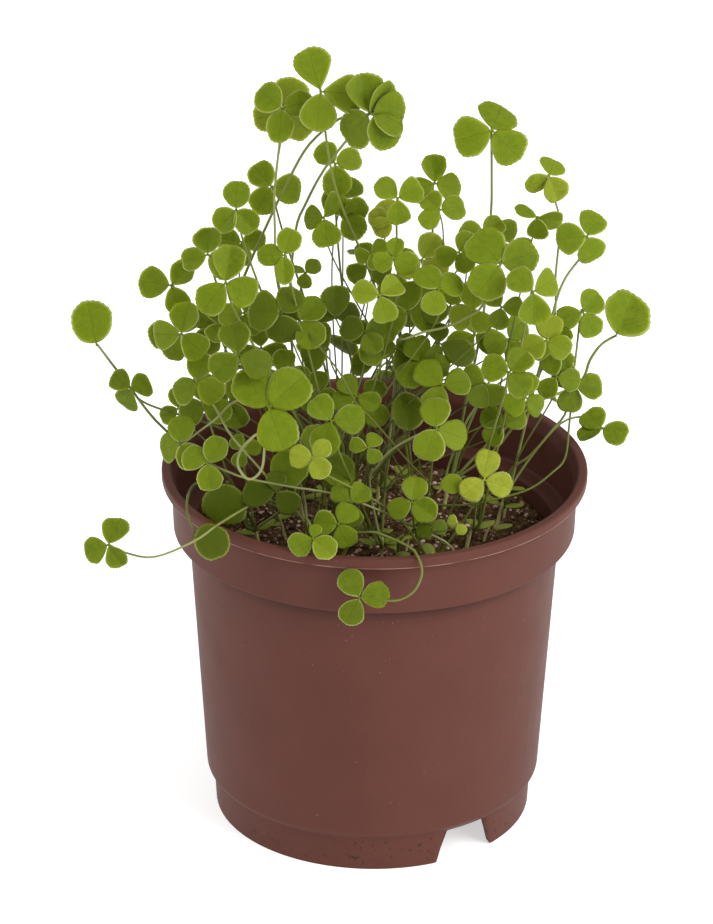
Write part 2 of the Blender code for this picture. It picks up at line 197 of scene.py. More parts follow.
floor_white, floor_shader, _ = new_material("floor_white")
feed(floor_shader, Base_Color=(0.74, 0.74, 0.74, 1.0), Roughness=0.9,
     Emission_Color=(1.0, 1.0, 1.0, 1.0), Emission_Strength=0.55)
floor_corners = [(FLOOR_REACH * x, FLOOR_REACH * y, 0) for x, y in ((-1, -1), (1, -1), (1, 1), (-1, 1))]
floor_mesh = bpy.data.meshes.new("floor")
floor_mesh.from_pydata(floor_corners, [], [(0, 1, 2, 3)])
floor_mesh.materials.append(floor_white)
floor_object = bpy.data.objects.new("floor", floor_mesh)
bpy.context.scene.collection.objects.link(floor_object)


# --- Pot ---
# One injection-moulded piece of dull brown-red plastic: a rolled lip with the mould's parting line under it,
# painted pale as the highlight its edge catches, a straight collar, a tapered body, and a foot ring with two
# notches. Five holes in the floor let water out.

pot_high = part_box("pot")[1]
LIP_RADIUS = pot_high.x
POT_HEIGHT = pot_high.z
LIP_INNER_RADIUS = 57.4 * MM
LIP_DEPTH = 2.9 * MM
COLLAR_TOP_RADIUS = 57.2 * MM
COLLAR_BOTTOM_RADIUS = 56.7 * MM
COLLAR_BOTTOM = 87.0 * MM
BODY_TOP_RADIUS = 52.4 * MM
BODY_BOTTOM_RADIUS = 47.6 * MM
FOOT_HEIGHT = 10.2 * MM
FOOT_TOP_RADIUS = 45.6 * MM
FOOT_BOTTOM_RADIUS = 45.0 * MM
WALL = 1.4 * MM
FLOOR_TOP = 13.4 * MM
NOTCH_ANGLES = (radians(-54), radians(126))
NOTCH_TOP_WIDTH = 13.2 * MM
NOTCH_BOTTOM_WIDTH = 19.0 * MM
DRAIN_RADIUS = 4.0 * MM
DRAIN_CIRCLE = 30.0 * MM
DRAIN_COUNT = 5
DRAIN_CUT_DEPTH = 6.0 * MM
DRAIN_SIDES = 32
POT_COLUMNS = 240

# Where the painted highlight on the parting line, the painted shade under the collar and the dirt on the foot
# fade
# in or out: heights, and distances from the axis that keep them outside.
PARTING_HIGHLIGHT_LOW = (101.75 * MM, 101.95 * MM)
PARTING_HIGHLIGHT_HIGH = (102.5 * MM, 102.3 * MM)
COLLAR_OUTSIDE = (56.4 * MM, 56.8 * MM)
COLLAR_SHADE_LOW = (79.0 * MM, 86.3 * MM)
COLLAR_SHADE_HIGH = (87.2 * MM, 87.0 * MM)
BODY_OUTSIDE = (51.4 * MM, 51.8 * MM)
FOOT_DIRT_FADE = (16.0 * MM, 7.0 * MM)

POT_DARK = (0.085, 0.029, 0.020)
POT_LIGHT = (0.110, 0.037, 0.027)
SPECK_PALE = (0.36, 0.20, 0.15)
PARTING_HIGHLIGHT_PALE = (0.40, 0.23, 0.17)
COLLAR_SHADE_DARK = (0.016, 0.005, 0.004)
FOOT_DIRT_DARK = (0.035, 0.016, 0.012)


def rounded(corners, steps=5, lead=0.4):
    """A line of (across, up, bend) corners, each rounded over a distance bend on both its sides.

    Between the two ends of a bend the line is a parabola: (1-t)^2 A + 2t(1-t) P + t^2 B, with P the corner.
    A point beyond each end, by lead times the bend, keeps straight stretches flat when shaded smooth.
    """
    places = np.array([(across, up) for across, up, _ in corners])
    line = [places[:1]]
    t = np.linspace(0, 1, steps)[:, None]
    for index in range(1, len(corners) - 1):
        corner, bend = places[index], corners[index][2]
        back, ahead = places[index - 1] - corner, places[index + 1] - corner
        back, ahead = back / np.linalg.norm(back), ahead / np.linalg.norm(ahead)
        start, end = corner + bend * back, corner + bend * ahead
        curve = (1 - t) ** 2 * start + 2 * t * (1 - t) * corner + t ** 2 * end
        line += [(start + lead * bend * back)[None], curve, (end + lead * bend * ahead)[None]]
    line.append(places[-1:])
    return np.concatenate(line)


def grid_faces(rows, columns):
    """The quads of a grid of points numbered row by row, whose last column joins its first."""
    row, column = np.meshgrid(np.arange(rows - 1), np.arange(columns), indexing="ij")
    row, column = row.ravel(), column.ravel()
    row_on, column_on = row + 1, (column + 1) % columns
    corners = [(row, column), (row, column_on), (row_on, column_on), (row_on, column)]
    return np.stack([r * columns + c for r, c in corners], axis=1)


def add_piece(name, points, faces, materials, nodes=()):
    """A smooth piece at the origin that rides on the body and stands for the CAD nodes."""
    mesh = bpy.data.meshes.new(name)
    mesh.from_pydata(points.tolist(), [], [list(face) for face in faces])
    mesh.shade_smooth()
    for material in materials:
        mesh.materials.append(material)
    piece = bpy.data.objects.new(name, mesh)
    bpy.context.scene.collection.objects.link(piece)
    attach(piece, BODY)
    if nodes:
        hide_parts(*nodes)
    return piece


def weld(piece):
    """Merges the points of a piece that fall together and drops the faces without area."""
    shape = bmesh.new()
    shape.from_mesh(piece.data)
    bmesh.ops.remove_doubles(shape, verts=shape.verts, dist=0.002 * MM)
    bmesh.ops.dissolve_degenerate(shape, dist=0.001 * MM, edges=shape.edges)
    bmesh.ops.recalc_face_normals(shape, faces=shape.faces)
    shape.to_mesh(piece.data)
    shape.free()


foot_inner = FOOT_BOTTOM_RADIUS - WALL
collar_inner = COLLAR_BOTTOM_RADIUS - WALL
pot_profile = rounded([
    (0.0, FLOOR_TOP, 0.0),
    (BODY_BOTTOM_RADIUS - WALL, FLOOR_TOP, 1.2 * MM),
    (BODY_TOP_RADIUS - WALL, COLLAR_BOTTOM, 0.8 * MM),
    (collar_inner, COLLAR_BOTTOM + 1.0 * MM, 0.7 * MM),
    (COLLAR_TOP_RADIUS - WALL, POT_HEIGHT - 4.0 * MM, 0.8 * MM),
    (LIP_INNER_RADIUS, POT_HEIGHT, 0.7 * MM),
    (LIP_RADIUS, POT_HEIGHT, 0.9 * MM),
    (LIP_RADIUS - 0.1 * MM, POT_HEIGHT - LIP_DEPTH, 0.35 * MM),
    (COLLAR_TOP_RADIUS, POT_HEIGHT - LIP_DEPTH - 0.5 * MM, 0.4 * MM),
    (COLLAR_BOTTOM_RADIUS, COLLAR_BOTTOM, 0.45 * MM),
    (BODY_TOP_RADIUS, COLLAR_BOTTOM - 0.3 * MM, 0.5 * MM),
    (BODY_BOTTOM_RADIUS, FOOT_HEIGHT + 2.1 * MM, 0.7 * MM),
    (FOOT_TOP_RADIUS, FOOT_HEIGHT, 0.25 * MM),
    (FOOT_BOTTOM_RADIUS, 0.0, 0.25 * MM),
    (foot_inner, 0.0, 0.25 * MM),
    (foot_inner + 0.3 * MM, FLOOR_TOP - WALL, 0.3 * MM),
    (0.0, FLOOR_TOP - WALL, 0.0),
])


def notch_height(angle, radius):
    """How high the two notches reach into the foot ring: full height in the middle, with slanted sides."""
    height = np.zeros_like(angle * radius)
    for middle in NOTCH_ANGLES:
        turn = (angle - middle + pi) % (2 * pi) - pi
        aside = np.abs(np.where(np.abs(turn) < 1.0, radius * np.sin(turn), 1.0))
        slope = (NOTCH_BOTTOM_WIDTH / 2 - aside) / (NOTCH_BOTTOM_WIDTH / 2 - NOTCH_TOP_WIDTH / 2)
        height = np.maximum(height, FOOT_HEIGHT * np.clip(slope, 0, 1))
    return height


# A column of points stands at each end of the notches' slanted sides.
pot_angles = np.linspace(-pi, pi, POT_COLUMNS, endpoint=False)
notch_edges = [middle + side * width / 2 / FOOT_BOTTOM_RADIUS
               for middle in NOTCH_ANGLES
               for side in (-1, 1)
               for width in (NOTCH_TOP_WIDTH, NOTCH_BOTTOM_WIDTH)]
for edge in notch_edges:
    nearest = np.argmin(np.abs((pot_angles - edge + pi) % (2 * pi) - pi))
    pot_angles[nearest] = edge
pot_angles = np.sort(pot_angles)
grid_shape = (len(pot_profile), len(pot_angles))
radius, height = (np.broadcast_to(pot_profile[:, [k]], grid_shape) for k in (0, 1))
height = np.where(height < FOOT_HEIGHT, np.maximum(height, notch_height(pot_angles, radius)), height)
pot_points = np.stack((radius * np.cos(pot_angles), radius * np.sin(pot_angles), height), axis=2)

pot_plastic, pot_shader, pot_field = new_material("pot_plastic")
height_up = pot_field.node("ShaderNodeSeparateXYZ", {}, {0: pot_field.place()}, output="Z")
pot_mottle = pot_field.noise(55.0, 3.0)
pot_speck = pot_field.noise(1400.0, 1.0).ramp(0.72, 0.78) * pot_field.noise(160.0).ramp(0.48, 0.66)
pot_colour = pot_field.mix(pot_mottle, POT_DARK, POT_LIGHT)
pot_colour = pot_field.mix(pot_speck * 0.35, pot_colour, SPECK_PALE)
# Painted highlight: a pale band along the mould's parting line under the lip, where its edge would catch the
# light.
parting_highlight = height_up.ramp(*PARTING_HIGHLIGHT_LOW) * height_up.ramp(*PARTING_HIGHLIGHT_HIGH)
parting_highlight = parting_highlight * pot_field.noise(120.0).ramp(0.30, 0.55)
level_place = pot_field.node("ShaderNodeVectorMath", {"operation": "MULTIPLY"},
                             {0: pot_field.place(), 1: (1.0, 1.0, 0.0)})
from_axis = pot_field.node("ShaderNodeVectorMath", {"operation": "LENGTH"}, {0: level_place}, output="Value")
parting_highlight = parting_highlight * from_axis.ramp(*COLLAR_OUTSIDE)
pot_colour = pot_field.mix(parting_highlight * 0.7, pot_colour, PARTING_HIGHLIGHT_PALE)
# Painted shade: the body darkens just under the collar's overhang, where its shadow falls.
collar_shade = height_up.ramp(*COLLAR_SHADE_LOW) * height_up.ramp(*COLLAR_SHADE_HIGH)
collar_shade = collar_shade * collar_shade * from_axis.ramp(*BODY_OUTSIDE)
pot_colour = pot_field.mix(collar_shade * 0.5, pot_colour, COLLAR_SHADE_DARK)
foot_dirt = pot_field.noise(700.0, 3.0).ramp(0.60, 0.68) * pot_field.noise(75.0).ramp(0.36, 0.56)
foot_dirt = foot_dirt * height_up.ramp(*FOOT_DIRT_FADE)
pot_colour = pot_field.mix(foot_dirt * 0.8, pot_colour, FOOT_DIRT_DARK)
feed(pot_shader,
     Base_Color=pot_colour,
     Roughness=0.46 + 0.14 * pot_field.noise(90.0),
     Specular_IOR_Level=0.12,
     Normal=pot_field.bump(pot_field.noise(500.0, 3.0), 0.25, 0.2 * MM))

pot_faces = grid_faces(len(pot_profile), len(pot_angles))
pot = add_piece("moulded_pot", pot_points.reshape(-1, 3), pot_faces, [pot_plastic], ["pot"])
weld(pot)
for index in range(DRAIN_COUNT):
    angle = 2 * pi * index / DRAIN_COUNT
    plug = bmesh.new()
    where = Matrix.Translation((cos(angle) * DRAIN_CIRCLE, sin(angle) * DRAIN_CIRCLE, FLOOR_TOP - WALL / 2))
    bmesh.ops.create_cone(plug, cap_ends=True, segments=DRAIN_SIDES, radius1=DRAIN_RADIUS,
                          radius2=DRAIN_RADIUS, depth=DRAIN_CUT_DEPTH, matrix=where)
    plug_mesh = bpy.data.meshes.new(f"drain_cutter_{index + 1}")
    plug.to_mesh(plug_mesh)
    plug.free()
    cutter = bpy.data.objects.new(plug_mesh.name, plug_mesh)
    bpy.context.scene.collection.objects.link(cutter)
    cutter.hide_render = True
    cutter.hide_viewport = True
    cut = pot.modifiers.new(plug_mesh.name, "BOOLEAN")
    cut.operation = "DIFFERENCE"
    cut.object = cutter


# --- Soil ---
# Loose dark peat and bark with pale grains of grit and perlite, filled to below the collar. The block's top
# is crumbly, and the grains and fibres that lie on it are a piece of their own.

SOIL_TOP = 82.0 * MM
SOIL_CROWN = 1.2 * MM
SOIL_EDGE = BODY_TOP_RADIUS - WALL - 0.6 * MM
SOIL_FLOOR = FLOOR_TOP + 0.35 * MM
SOIL_FLOOR_RADIUS = BODY_BOTTOM_RADIUS - WALL - 0.4 * MM
SOIL_RINGS = 104
SOIL_COLUMNS = 360

# The crumbs of the soil's top: how much each size of them counts, and how wide it is. The sum's middle is
# taken off, and what is left is scaled by the rise, in mm.
CRUMBS = ((2.0, 7.0 * MM), (1.3, 2.6 * MM), (1.0, 1.1 * MM), (0.5, 0.55 * MM))
CRUMB_MIDDLE = 2.4
CRUMB_RISE = 0.75

LATTICE = 256
SOIL_SEED = 5

PEAT_TONES = [
    (0.30, (0.028, 0.014, 0.005)),
    (0.50, (0.074, 0.038, 0.013)),
    (0.66, (0.140, 0.080, 0.038)),
    (0.78, (0.230, 0.130, 0.085)),
]
soil_random = np.random.default_rng(SOIL_SEED)
lattice = soil_random.random((len(CRUMBS), LATTICE, LATTICE))


def lumps(x, y, size, layer):
    """Random heights from 0 to 1 on a square lattice of the given size, eased between its points.

    The shares s and t of the way across a square are eased by 3 s^2 - 2 s^3 before the four corners mix.
    """
    i, j = np.floor(x / size).astype(int), np.floor(y / size).astype(int)
    s, t = x / size - i, y / size - j
    s, t = s * s * (3 - 2 * s), t * t * (3 - 2 * t)
    table = lattice[layer]
    i, j, i_on, j_on = i % LATTICE, j % LATTICE, (i + 1) % LATTICE, (j + 1) % LATTICE
    low = (1 - s) * table[i, j] + s * table[i_on, j]
    high = (1 - s) * table[i, j_on] + s * table[i_on, j_on]
    return (1 - t) * low + t * high


def soil_surface(x, y):
    """A low dome, SOIL_CROWN (1 - r^2 / edge^2) above its rim, with crumbs of four sizes on it."""
    dome = SOIL_TOP + SOIL_CROWN * (1 - (x * x + y * y) / SOIL_EDGE ** 2)
    crumbs = sum(share * lumps(x, y, size, layer) for layer, (share, size) in enumerate(CRUMBS))
    return dome + (crumbs - CRUMB_MIDDLE) * CRUMB_RISE * MM


# Rings of points stand a little closer toward the rim.
soil_angles = np.linspace(0, 2 * pi, SOIL_COLUMNS, endpoint=False)
soil_rings = SOIL_EDGE * np.linspace(0, 1, SOIL_RINGS + 1)[1:, None] ** 0.85
x, y = soil_rings * np.cos(soil_angles), soil_rings * np.sin(soil_angles)
soil_top = np.stack((x, y, soil_surface(x, y)), axis=2).reshape(-1, 3)
ring = np.stack((np.cos(soil_angles), np.sin(soil_angles)), axis=1)
soil_bottom = np.column_stack((ring * SOIL_FLOOR_RADIUS, np.full(len(ring), SOIL_FLOOR)))
soil_middles = np.array([[0, 0, soil_surface(np.zeros(1), np.zeros(1))[0]], [0, 0, SOIL_FLOOR]])
soil_points = np.concatenate((soil_top, soil_bottom, soil_middles))
columns, rows = len(soil_angles), len(soil_rings) + 1
first_ring = np.arange(columns)
last_ring = (rows - 1) * columns + first_ring
soil_faces = [
    *grid_faces(rows, columns)[:, ::-1],
    *np.stack((np.full(columns, rows * columns), first_ring, np.roll(first_ring, -1)), axis=1),
    *np.stack((np.full(columns, rows * columns + 1), np.roll(last_ring, -1), last_ring), axis=1),
]

soil_peat, soil_shader, soil_field = new_material("soil_peat")
soil_patch = soil_field.noise(420.0, 4.0)
soil_colour = soil_field.node("ShaderNodeValToRGB", {"stops": PEAT_TONES}, {0: soil_patch})
feed(soil_shader, Base_Color=soil_colour, Roughness=0.9, Specular_IOR_Level=0.10,
     Normal=soil_field.bump(soil_field.noise(1600.0, 3.0), 0.9, 0.5 * MM))
add_piece("potting_soil", soil_points, soil_faces, [soil_peat], ["soil"])

# The grains are small knobbly twenty-sided lumps, and a few of them are drawn out into fibres.
GRAIN_COUNT = 4200
GRAIN_LEAST = 0.18 * MM
GRAIN_RANGE = 0.62 * MM
GRAIN_MARGIN = 1.2 * MM
GRAIN_STRETCH = (1.25, 0.95, 0.75)
FIBRE_STRETCH = (4.5, 0.5, 0.5)
FIBRE_SHARE = 0.08
GRAIN_TONES = [
    (0.00, (0.030, 0.014, 0.006)),
    (0.44, (0.100, 0.052, 0.022)),
    (0.62, (0.230, 0.130, 0.075)),
    (0.76, (0.460, 0.270, 0.210)),
    (1.00, (0.700, 0.530, 0.450)),
]
golden = (1 + 5 ** 0.5) / 2
grain_shape = np.array([(-1, golden, 0), (1, golden, 0), (-1, -golden, 0), (1, -golden, 0), (0, -1, golden),
                        (0, 1, golden), (0, -1, -golden), (0, 1, -golden), (golden, 0, -1), (golden, 0, 1),
                        (-golden, 0, -1), (-golden, 0, 1)]) / (1 + golden ** 2) ** 0.5
grain_faces = np.array([(0, 11, 5), (0, 5, 1), (0, 1, 7), (0, 7, 10), (0, 10, 11), (1, 5, 9), (5, 11, 4),
                        (11, 10, 2), (10, 7, 6), (7, 1, 8), (3, 9, 4), (3, 4, 2), (3, 2, 6), (3, 6, 8),
                        (3, 8, 9), (4, 9, 5), (2, 4, 11), (6, 2, 10), (8, 6, 7), (9, 8, 1)])
grain_points = len(grain_shape)
grain_reach = (SOIL_EDGE - GRAIN_MARGIN) * np.sqrt(soil_random.random(GRAIN_COUNT))
grain_bearing = 2 * pi * soil_random.random(GRAIN_COUNT)
grain_x, grain_y = grain_reach * np.cos(grain_bearing), grain_reach * np.sin(grain_bearing)
grain_size = GRAIN_LEAST + GRAIN_RANGE * soil_random.random(GRAIN_COUNT) ** 2.2
is_fibre = soil_random.random((GRAIN_COUNT, 1)) < FIBRE_SHARE
grain_stretch = np.where(is_fibre, FIBRE_STRETCH, GRAIN_STRETCH)
grain_turn = 2 * pi * soil_random.random(GRAIN_COUNT)
knobbly = grain_shape * (0.8 + 0.4 * soil_random.random((GRAIN_COUNT, grain_points, 1)))
grain_u, grain_v, grain_w = np.moveaxis(knobbly * (grain_size[:, None] * grain_stretch)[:, None], 2, 0)
turn_cos, turn_sin = np.cos(grain_turn)[:, None], np.sin(grain_turn)[:, None]
grains = np.stack((grain_u * turn_cos - grain_v * turn_sin,
                   grain_u * turn_sin + grain_v * turn_cos,
                   grain_w), axis=2)
grains += np.stack((grain_x, grain_y, soil_surface(grain_x, grain_y) + 0.25 * grain_size), axis=1)[:, None]
all_grain_faces = (grain_faces + grain_points * np.arange(GRAIN_COUNT)[:, None, None]).reshape(-1, 3)

grain_grit, grain_shader, grain_field = new_material("soil_grains")
grain_colour = grain_field.node("ShaderNodeValToRGB", {"stops": GRAIN_TONES},
                                {0: grain_field.attribute("kind")})
feed(grain_shader, Base_Color=grain_colour, Roughness=0.7, Specular_IOR_Level=0.2,
     Normal=grain_field.bump(grain_field.noise(2500.0), 0.5, 0.2 * MM))
soil_grit = add_piece("soil_grit", grains.reshape(-1, 3), all_grain_faces, [grain_grit])
kind = soil_grit.data.attributes.new("kind", "FLOAT", "POINT")
kind.data.foreach_set("value", np.repeat(soil_random.random(GRAIN_COUNT), grain_points))


# --- Seedling stems ---
# Each seedling is a short pale stem, whitish where it leaves the soil, that carries two oval seed leaves on
# stubby stalks. Stem and seed leaves grew as one.

STEM_RADIUS = 0.56 * MM
STEM_TAPER = (1.15, 0.85)
STEM_LEAN = 2.0 * MM
STEM_ARCH = 0.4 * MM
STEM_ROOT = 2.0 * MM
YOUNG_STEM_SHARE = 0.7
SEED_LEAF_LENGTH = 6.0 * MM
SEED_LEAF_WIDTH = 3.9 * MM
SEED_LEAF_THICKNESS = 0.7 * MM
SEED_LEAF_STALK = 0.9 * MM
SEED_LEAF_HEIGHT = 0.72
SEED_LEAF_POINTS = 20

# Which way the first seedling's seed leaves point, and how far each next pair is turned on (degrees).
SEED_LEAF_START = 40
SEED_LEAF_STEP = 137

STEM_WHITISH = (0.540, 0.500, 0.210)
STEM_GREEN = (0.215, 0.235, 0.040)
SEED_LEAF_GREEN = (0.195, 0.225, 0.030)
STEM_MOTTLE = (0.10, 0.15, 0.02)

# Where each seedling comes up, in mm from the pot's axis, and how tall its stem is.
STEMS = {
    "a": (-32, -10, 9),
    "b": (-20, 8, 10),
    "c": (-17, -20, 8),
    "d": (-7, -5, 10),
    "e": (1, 12, 11),
    "f": (2, -16, 8),
    "g": (11, 0, 10),
    "h": (15, -25, 8),
    "i": (20, 17, 10),
    "j": (26, -8, 9),
    "k": (35, 7, 9),
    "l": (-8, 28, 10),
}


def soil_dome(x, y):
    """The soil's height without its crumbs."""
    return SOIL_TOP + SOIL_CROWN * (1 - (x * x + y * y) / (BODY_TOP_RADIUS - WALL) ** 2)


def stem_foot(stem):
    """Where a seedling comes out of the soil."""
    x, y = (value * MM for value in STEMS[stem][:2])
    return Vector((x, y, soil_dome(x, y)))


def stem_top(stem):
    """A stem's upper end; every seedling leans outward from the pot's axis by the same amount."""
    foot = stem_foot(stem)
    outward = Vector((foot.x, foot.y, 0)).normalized()
    return foot + outward * STEM_LEAN + Vector((0, 0, STEMS[stem][2] * MM))


def smooth_path(points, steps):
    """Catmull-Rom: between points 1 and 2 of four, a cubic whose slope at each is half the step past it."""
    points = np.array(points, float)
    ends = np.concatenate((2 * points[:1] - points[1:2], points, 2 * points[-1:] - points[-2:-1]))
    t = np.linspace(0, 1, steps, endpoint=False)[:, None, None]
    a, b, c, d = ends[:-3], ends[1:-2], ends[2:-1], ends[3:]
    path = 0.5 * (2 * b + (c - a) * t
                  + (2 * a - 5 * b + 4 * c - d) * t ** 2
                  + (3 * b - a - 3 * c + d) * t ** 3)
    return np.concatenate((path.transpose(1, 0, 2).reshape(-1, 3), points[-1:]))


def tube(path, radii, sides=8):
    """Points and faces of a closed tube: a circle square to the path at each of its points, and end caps.

    The circle's two axes are the path's direction crossed with a fixed slant, and that crossed with it again.
    """
    along = np.gradient(path, axis=0)
    along /= np.linalg.norm(along, axis=1, keepdims=True)
    side = np.cross(along, (0.31, 0.83, 0.17))
    side /= np.linalg.norm(side, axis=1, keepdims=True)
    other = np.cross(along, side)
    angle = 2 * pi * np.arange(sides) / sides
    circle = side[:, None] * np.cos(angle)[:, None] + other[:, None] * np.sin(angle)[:, None]
    points = path[:, None] + circle * np.asarray(radii).reshape(-1, 1, 1)
    count = len(path)
    points = np.concatenate((points.reshape(-1, 3), path[:1], path[-1:]))
    ring = np.arange(sides)
    last = (count - 1) * sides + ring
    faces = [
        *grid_faces(count, sides),
        *np.stack((np.full(sides, count * sides), np.roll(ring, -1), ring), axis=1),
        *np.stack((np.full(sides, count * sides + 1), last, np.roll(last, -1)), axis=1),
    ]
    return points, faces


# The rings of points in a blade, by how far out they stand from its middle to its rim.
BLADE_RINGS = np.array([0.30, 0.60, 0.85, 1.0])


def pad(outline, thickness, sink):
    """Points and faces of a thin closed blade inside an outline, a row of x, y points that runs round once.

    Each ring is the outline drawn in toward its middle; the two skins stand thickness (1 - ring^3) apart and
    meet at the rim. The upper skin's rings come first, then the lower's without the rim, then both middles.
    sink(x, y) is how far the whole blade drops there.
    """
    count = len(outline)
    middle = outline.mean(axis=0)
    flat = middle + BLADE_RINGS[:, None, None] * (outline - middle)
    swell = thickness / 2 * (1 - BLADE_RINGS ** 3)
    drop = sink(flat[..., 0], flat[..., 1])
    upper = np.dstack((flat, swell[:, None] - drop))
    lower = np.dstack((flat, -swell[:, None] - drop))[:-1]
    centre_drop = float(sink(middle[0], middle[1]))
    points = np.concatenate((
        upper.reshape(-1, 3), lower.reshape(-1, 3),
        [(*middle, thickness / 2 - centre_drop), (*middle, -thickness / 2 - centre_drop)],
    ))
    rings = len(BLADE_RINGS)
    numbers = np.arange(count)
    lower_start = rings * count
    top, bottom = lower_start + (rings - 1) * count, lower_start + (rings - 1) * count + 1
    on = np.roll(numbers, -1)
    lower_last = lower_start + (rings - 2) * count
    rim = (rings - 1) * count
    faces = [
        *grid_faces(rings, count)[:, ::-1],
        *(grid_faces(rings - 1, count) + lower_start),
        *np.stack((lower_last + numbers, rim + numbers, rim + on, lower_last + on), axis=1)[:, ::-1],
        *np.stack((np.full(count, top), numbers, on), axis=1),
        *np.stack((np.full(count, bottom), lower_start + on, lower_start + numbers), axis=1),
    ]
    return points, faces


def joined(shapes):
    """Several (points, faces) shapes as one."""
    points, faces, start = [], [], 0
    for shape_points, shape_faces in shapes:
        points.append(shape_points)
        faces += [[start + number for number in face] for face in shape_faces]
        start += len(shape_points)
    return np.concatenate(points), faces


stem_green, stem_shader, stem_field = new_material("stem_green")
stem_up = stem_field.node("ShaderNodeSeparateXYZ", {}, {0: stem_field.place()}, output="Z")
stem_colour = stem_field.mix(stem_up.ramp(85.0 * MM, 97.0 * MM), STEM_WHITISH, STEM_GREEN)
stem_colour = stem_field.mix(stem_field.attribute("seed_leaf"), stem_colour, SEED_LEAF_GREEN)
stem_mottle = stem_field.noise(700.0, 3.0).ramp(0.35, 0.75)
stem_colour = stem_field.mix(stem_mottle * 0.4, stem_colour, STEM_MOTTLE)
feed(stem_shader, Base_Color=stem_colour, Roughness=0.5, Specular_IOR_Level=0.12,
     Normal=stem_field.bump(stem_field.noise(1800.0), 0.3, 0.1 * MM))

# Younger seedlings between them, in the scene alone.
YOUNG_STEMS = {
    "m": (-25, -3, 8),
    "n": (-12, -14, 7),
    "o": (-1, -10, 9),
    "p": (6, -19, 7),
    "q": (9, -10, 8),
    "r": (-26, 12, 8),
    "s": (31, -3, 6),
    "t": (37, 12, 14),
    "u": (-33, -22, 5),
    "v": (-1, -29, 5),
    "w": (-9, 14, 8),
    "x": (10, 24, 8),
}
STEMS.update(YOUNG_STEMS)


def seed_leaf_sink(x, y):
    """A seed leaf slants up along its length and drops off to both sides, by -x / 4 + 30 y^2."""
    return -0.25 * x + 30.0 * y * y


angle = np.linspace(0, 2 * pi, SEED_LEAF_POINTS, endpoint=False)
oval = np.column_stack((SEED_LEAF_LENGTH / 2 * (1 - np.cos(angle)) + SEED_LEAF_STALK,
                        SEED_LEAF_WIDTH / 2 * np.sin(angle)))
for index, stem in enumerate(STEMS):
    foot, top = stem_foot(stem), stem_top(stem)
    middle = foot.lerp(top, 0.5) + Vector((0, 0, STEM_ARCH))
    stem_path = smooth_path([foot - Vector((0, 0, STEM_ROOT)), foot, middle, top], 4)
    girth = YOUNG_STEM_SHARE if stem in YOUNG_STEMS else 1.0
    shapes = [tube(stem_path, girth * STEM_RADIUS * np.linspace(*STEM_TAPER, len(stem_path)))]
    for side in (0, pi):
        bearing = radians(SEED_LEAF_START + SEED_LEAF_STEP * index) + side
        points, faces = pad(oval, SEED_LEAF_THICKNESS, seed_leaf_sink)
        turn = Matrix.Translation(foot.lerp(top, SEED_LEAF_HEIGHT)) @ Matrix.Rotation(bearing, 4, "Z")
        points = points @ np.array(turn.to_3x3()).T + np.array(turn.translation)
        shapes.append((points, faces))
    points, faces = joined(shapes)
    nodes = [] if stem in YOUNG_STEMS else [f"stem_{stem}"]
    seedling = add_piece(f"seedling_{stem}", points, faces, [stem_green], nodes)
    seed_leaf = seedling.data.attributes.new("seed_leaf", "FLOAT", "POINT")
    seed_leaf.data.foreach_set("value", (np.arange(len(points)) >= len(shapes[0][0])).astype(float))


# --- Leaves ---
# Three toothed leaflets, or one round blade on a seedling's first leaf, on a long thin stalk that grew with
# them. The blades are soft and half matt, with a pale midrib, faint side veins, a paler underside and a
# painted highlight along parts of the rim.

# A stalk grows from a foot below its stem's top, out over a small circle round it. Its rise, outward and
# arrival are shares of the straight way to the leaf, and its radius has a share of the leaflets' length.
STALK_RADIUS = 0.25 * MM
STALK_RADIUS_SHARE = 0.013
STALK_TAPER = (1.1, 0.85)
STALK_FOOT = 2.5 * MM
STALK_CIRCLE = 2.4 * MM
STALK_SPREAD = radians(48)
STALK_LEAN = 6.0 * MM
STALK_RISE = 0.42
STALK_OUTWARD = 0.10
STALK_ARRIVAL = 0.16
STALK_SIDEWAYS = Vector((1.0, 0.3, 0.0))
STALK_POINTS = 12
STALK_SIDES = 6
USUAL_STALK_TONE = 0.5

# The stalks of the crowd are thinner and bowed, painted darker as shade for where they stand deep in the
# crowd, start on a smaller circle, and are turned aside by steps through a span of degrees.
CROWD_STALK_SHARE = 0.72
CROWD_STALK_FOOT = 3.5 * MM
CROWD_STALK_CIRCLE = 1.6 * MM
CROWD_STALK_SHADED_TONE = 0.14
CROWD_TONE_STEP = 0.05
CROWD_TONES = 7
CROWD_BOW = (0.20, 0.12)
CROWD_BOW_SEED = 900
CROWD_TURN_STEP = 47
CROWD_TURN_SPAN = 120

# Each leaflet hangs on a short stem, which runs on under the blade as its thick midrib.
BLADE_THICKNESS = 0.36 * MM
BLADE_SINK = 0.15
NECK_LENGTH = 2.2 * MM
LEAFLET_STEM = 0.05
LEAFLET_STEM_REACH = 0.16
LEAFLET_STEM_POINTS = 4
LEAFLET_STEM_RADIUS = 0.27 * MM
LEAFLET_STEM_TAPER = np.array((1.2, 1.0, 0.9, 0.5))
LEAFLET_STEM_DROP = 0.12 * MM
LEAFLET_WIDTH = 1.0
ROUND_BLADE_WIDTH = 0.96
TEETH = 22
TOOTH_DEPTH = 0.030
BASE_TAPER = 0.45
RIM_WAVES = ((3, 0.024), (5, 0.018), (8, 0.012))

# What chance gives a leaflet, between two ends: its size, twist, pitch and width, then its wedge, the bump at
# its tip, its fold, cup and curl, and its tone.
LEAFLET_CHANCE = ((0.97, 1.07), (-15, 15), (-12, 14), (0.92, 1.08))
WEDGE_CHANCE = (0.14, 0.55)
TIP_BUMP = (-0.02, 0.06)
FOLD_LEAST = 0.03
FOLD_RANGE = 0.45
CUP = (-12, 16)
TIP_CURL = (-8, 10)
TONE_CHANCE = (-0.08, 0.08)

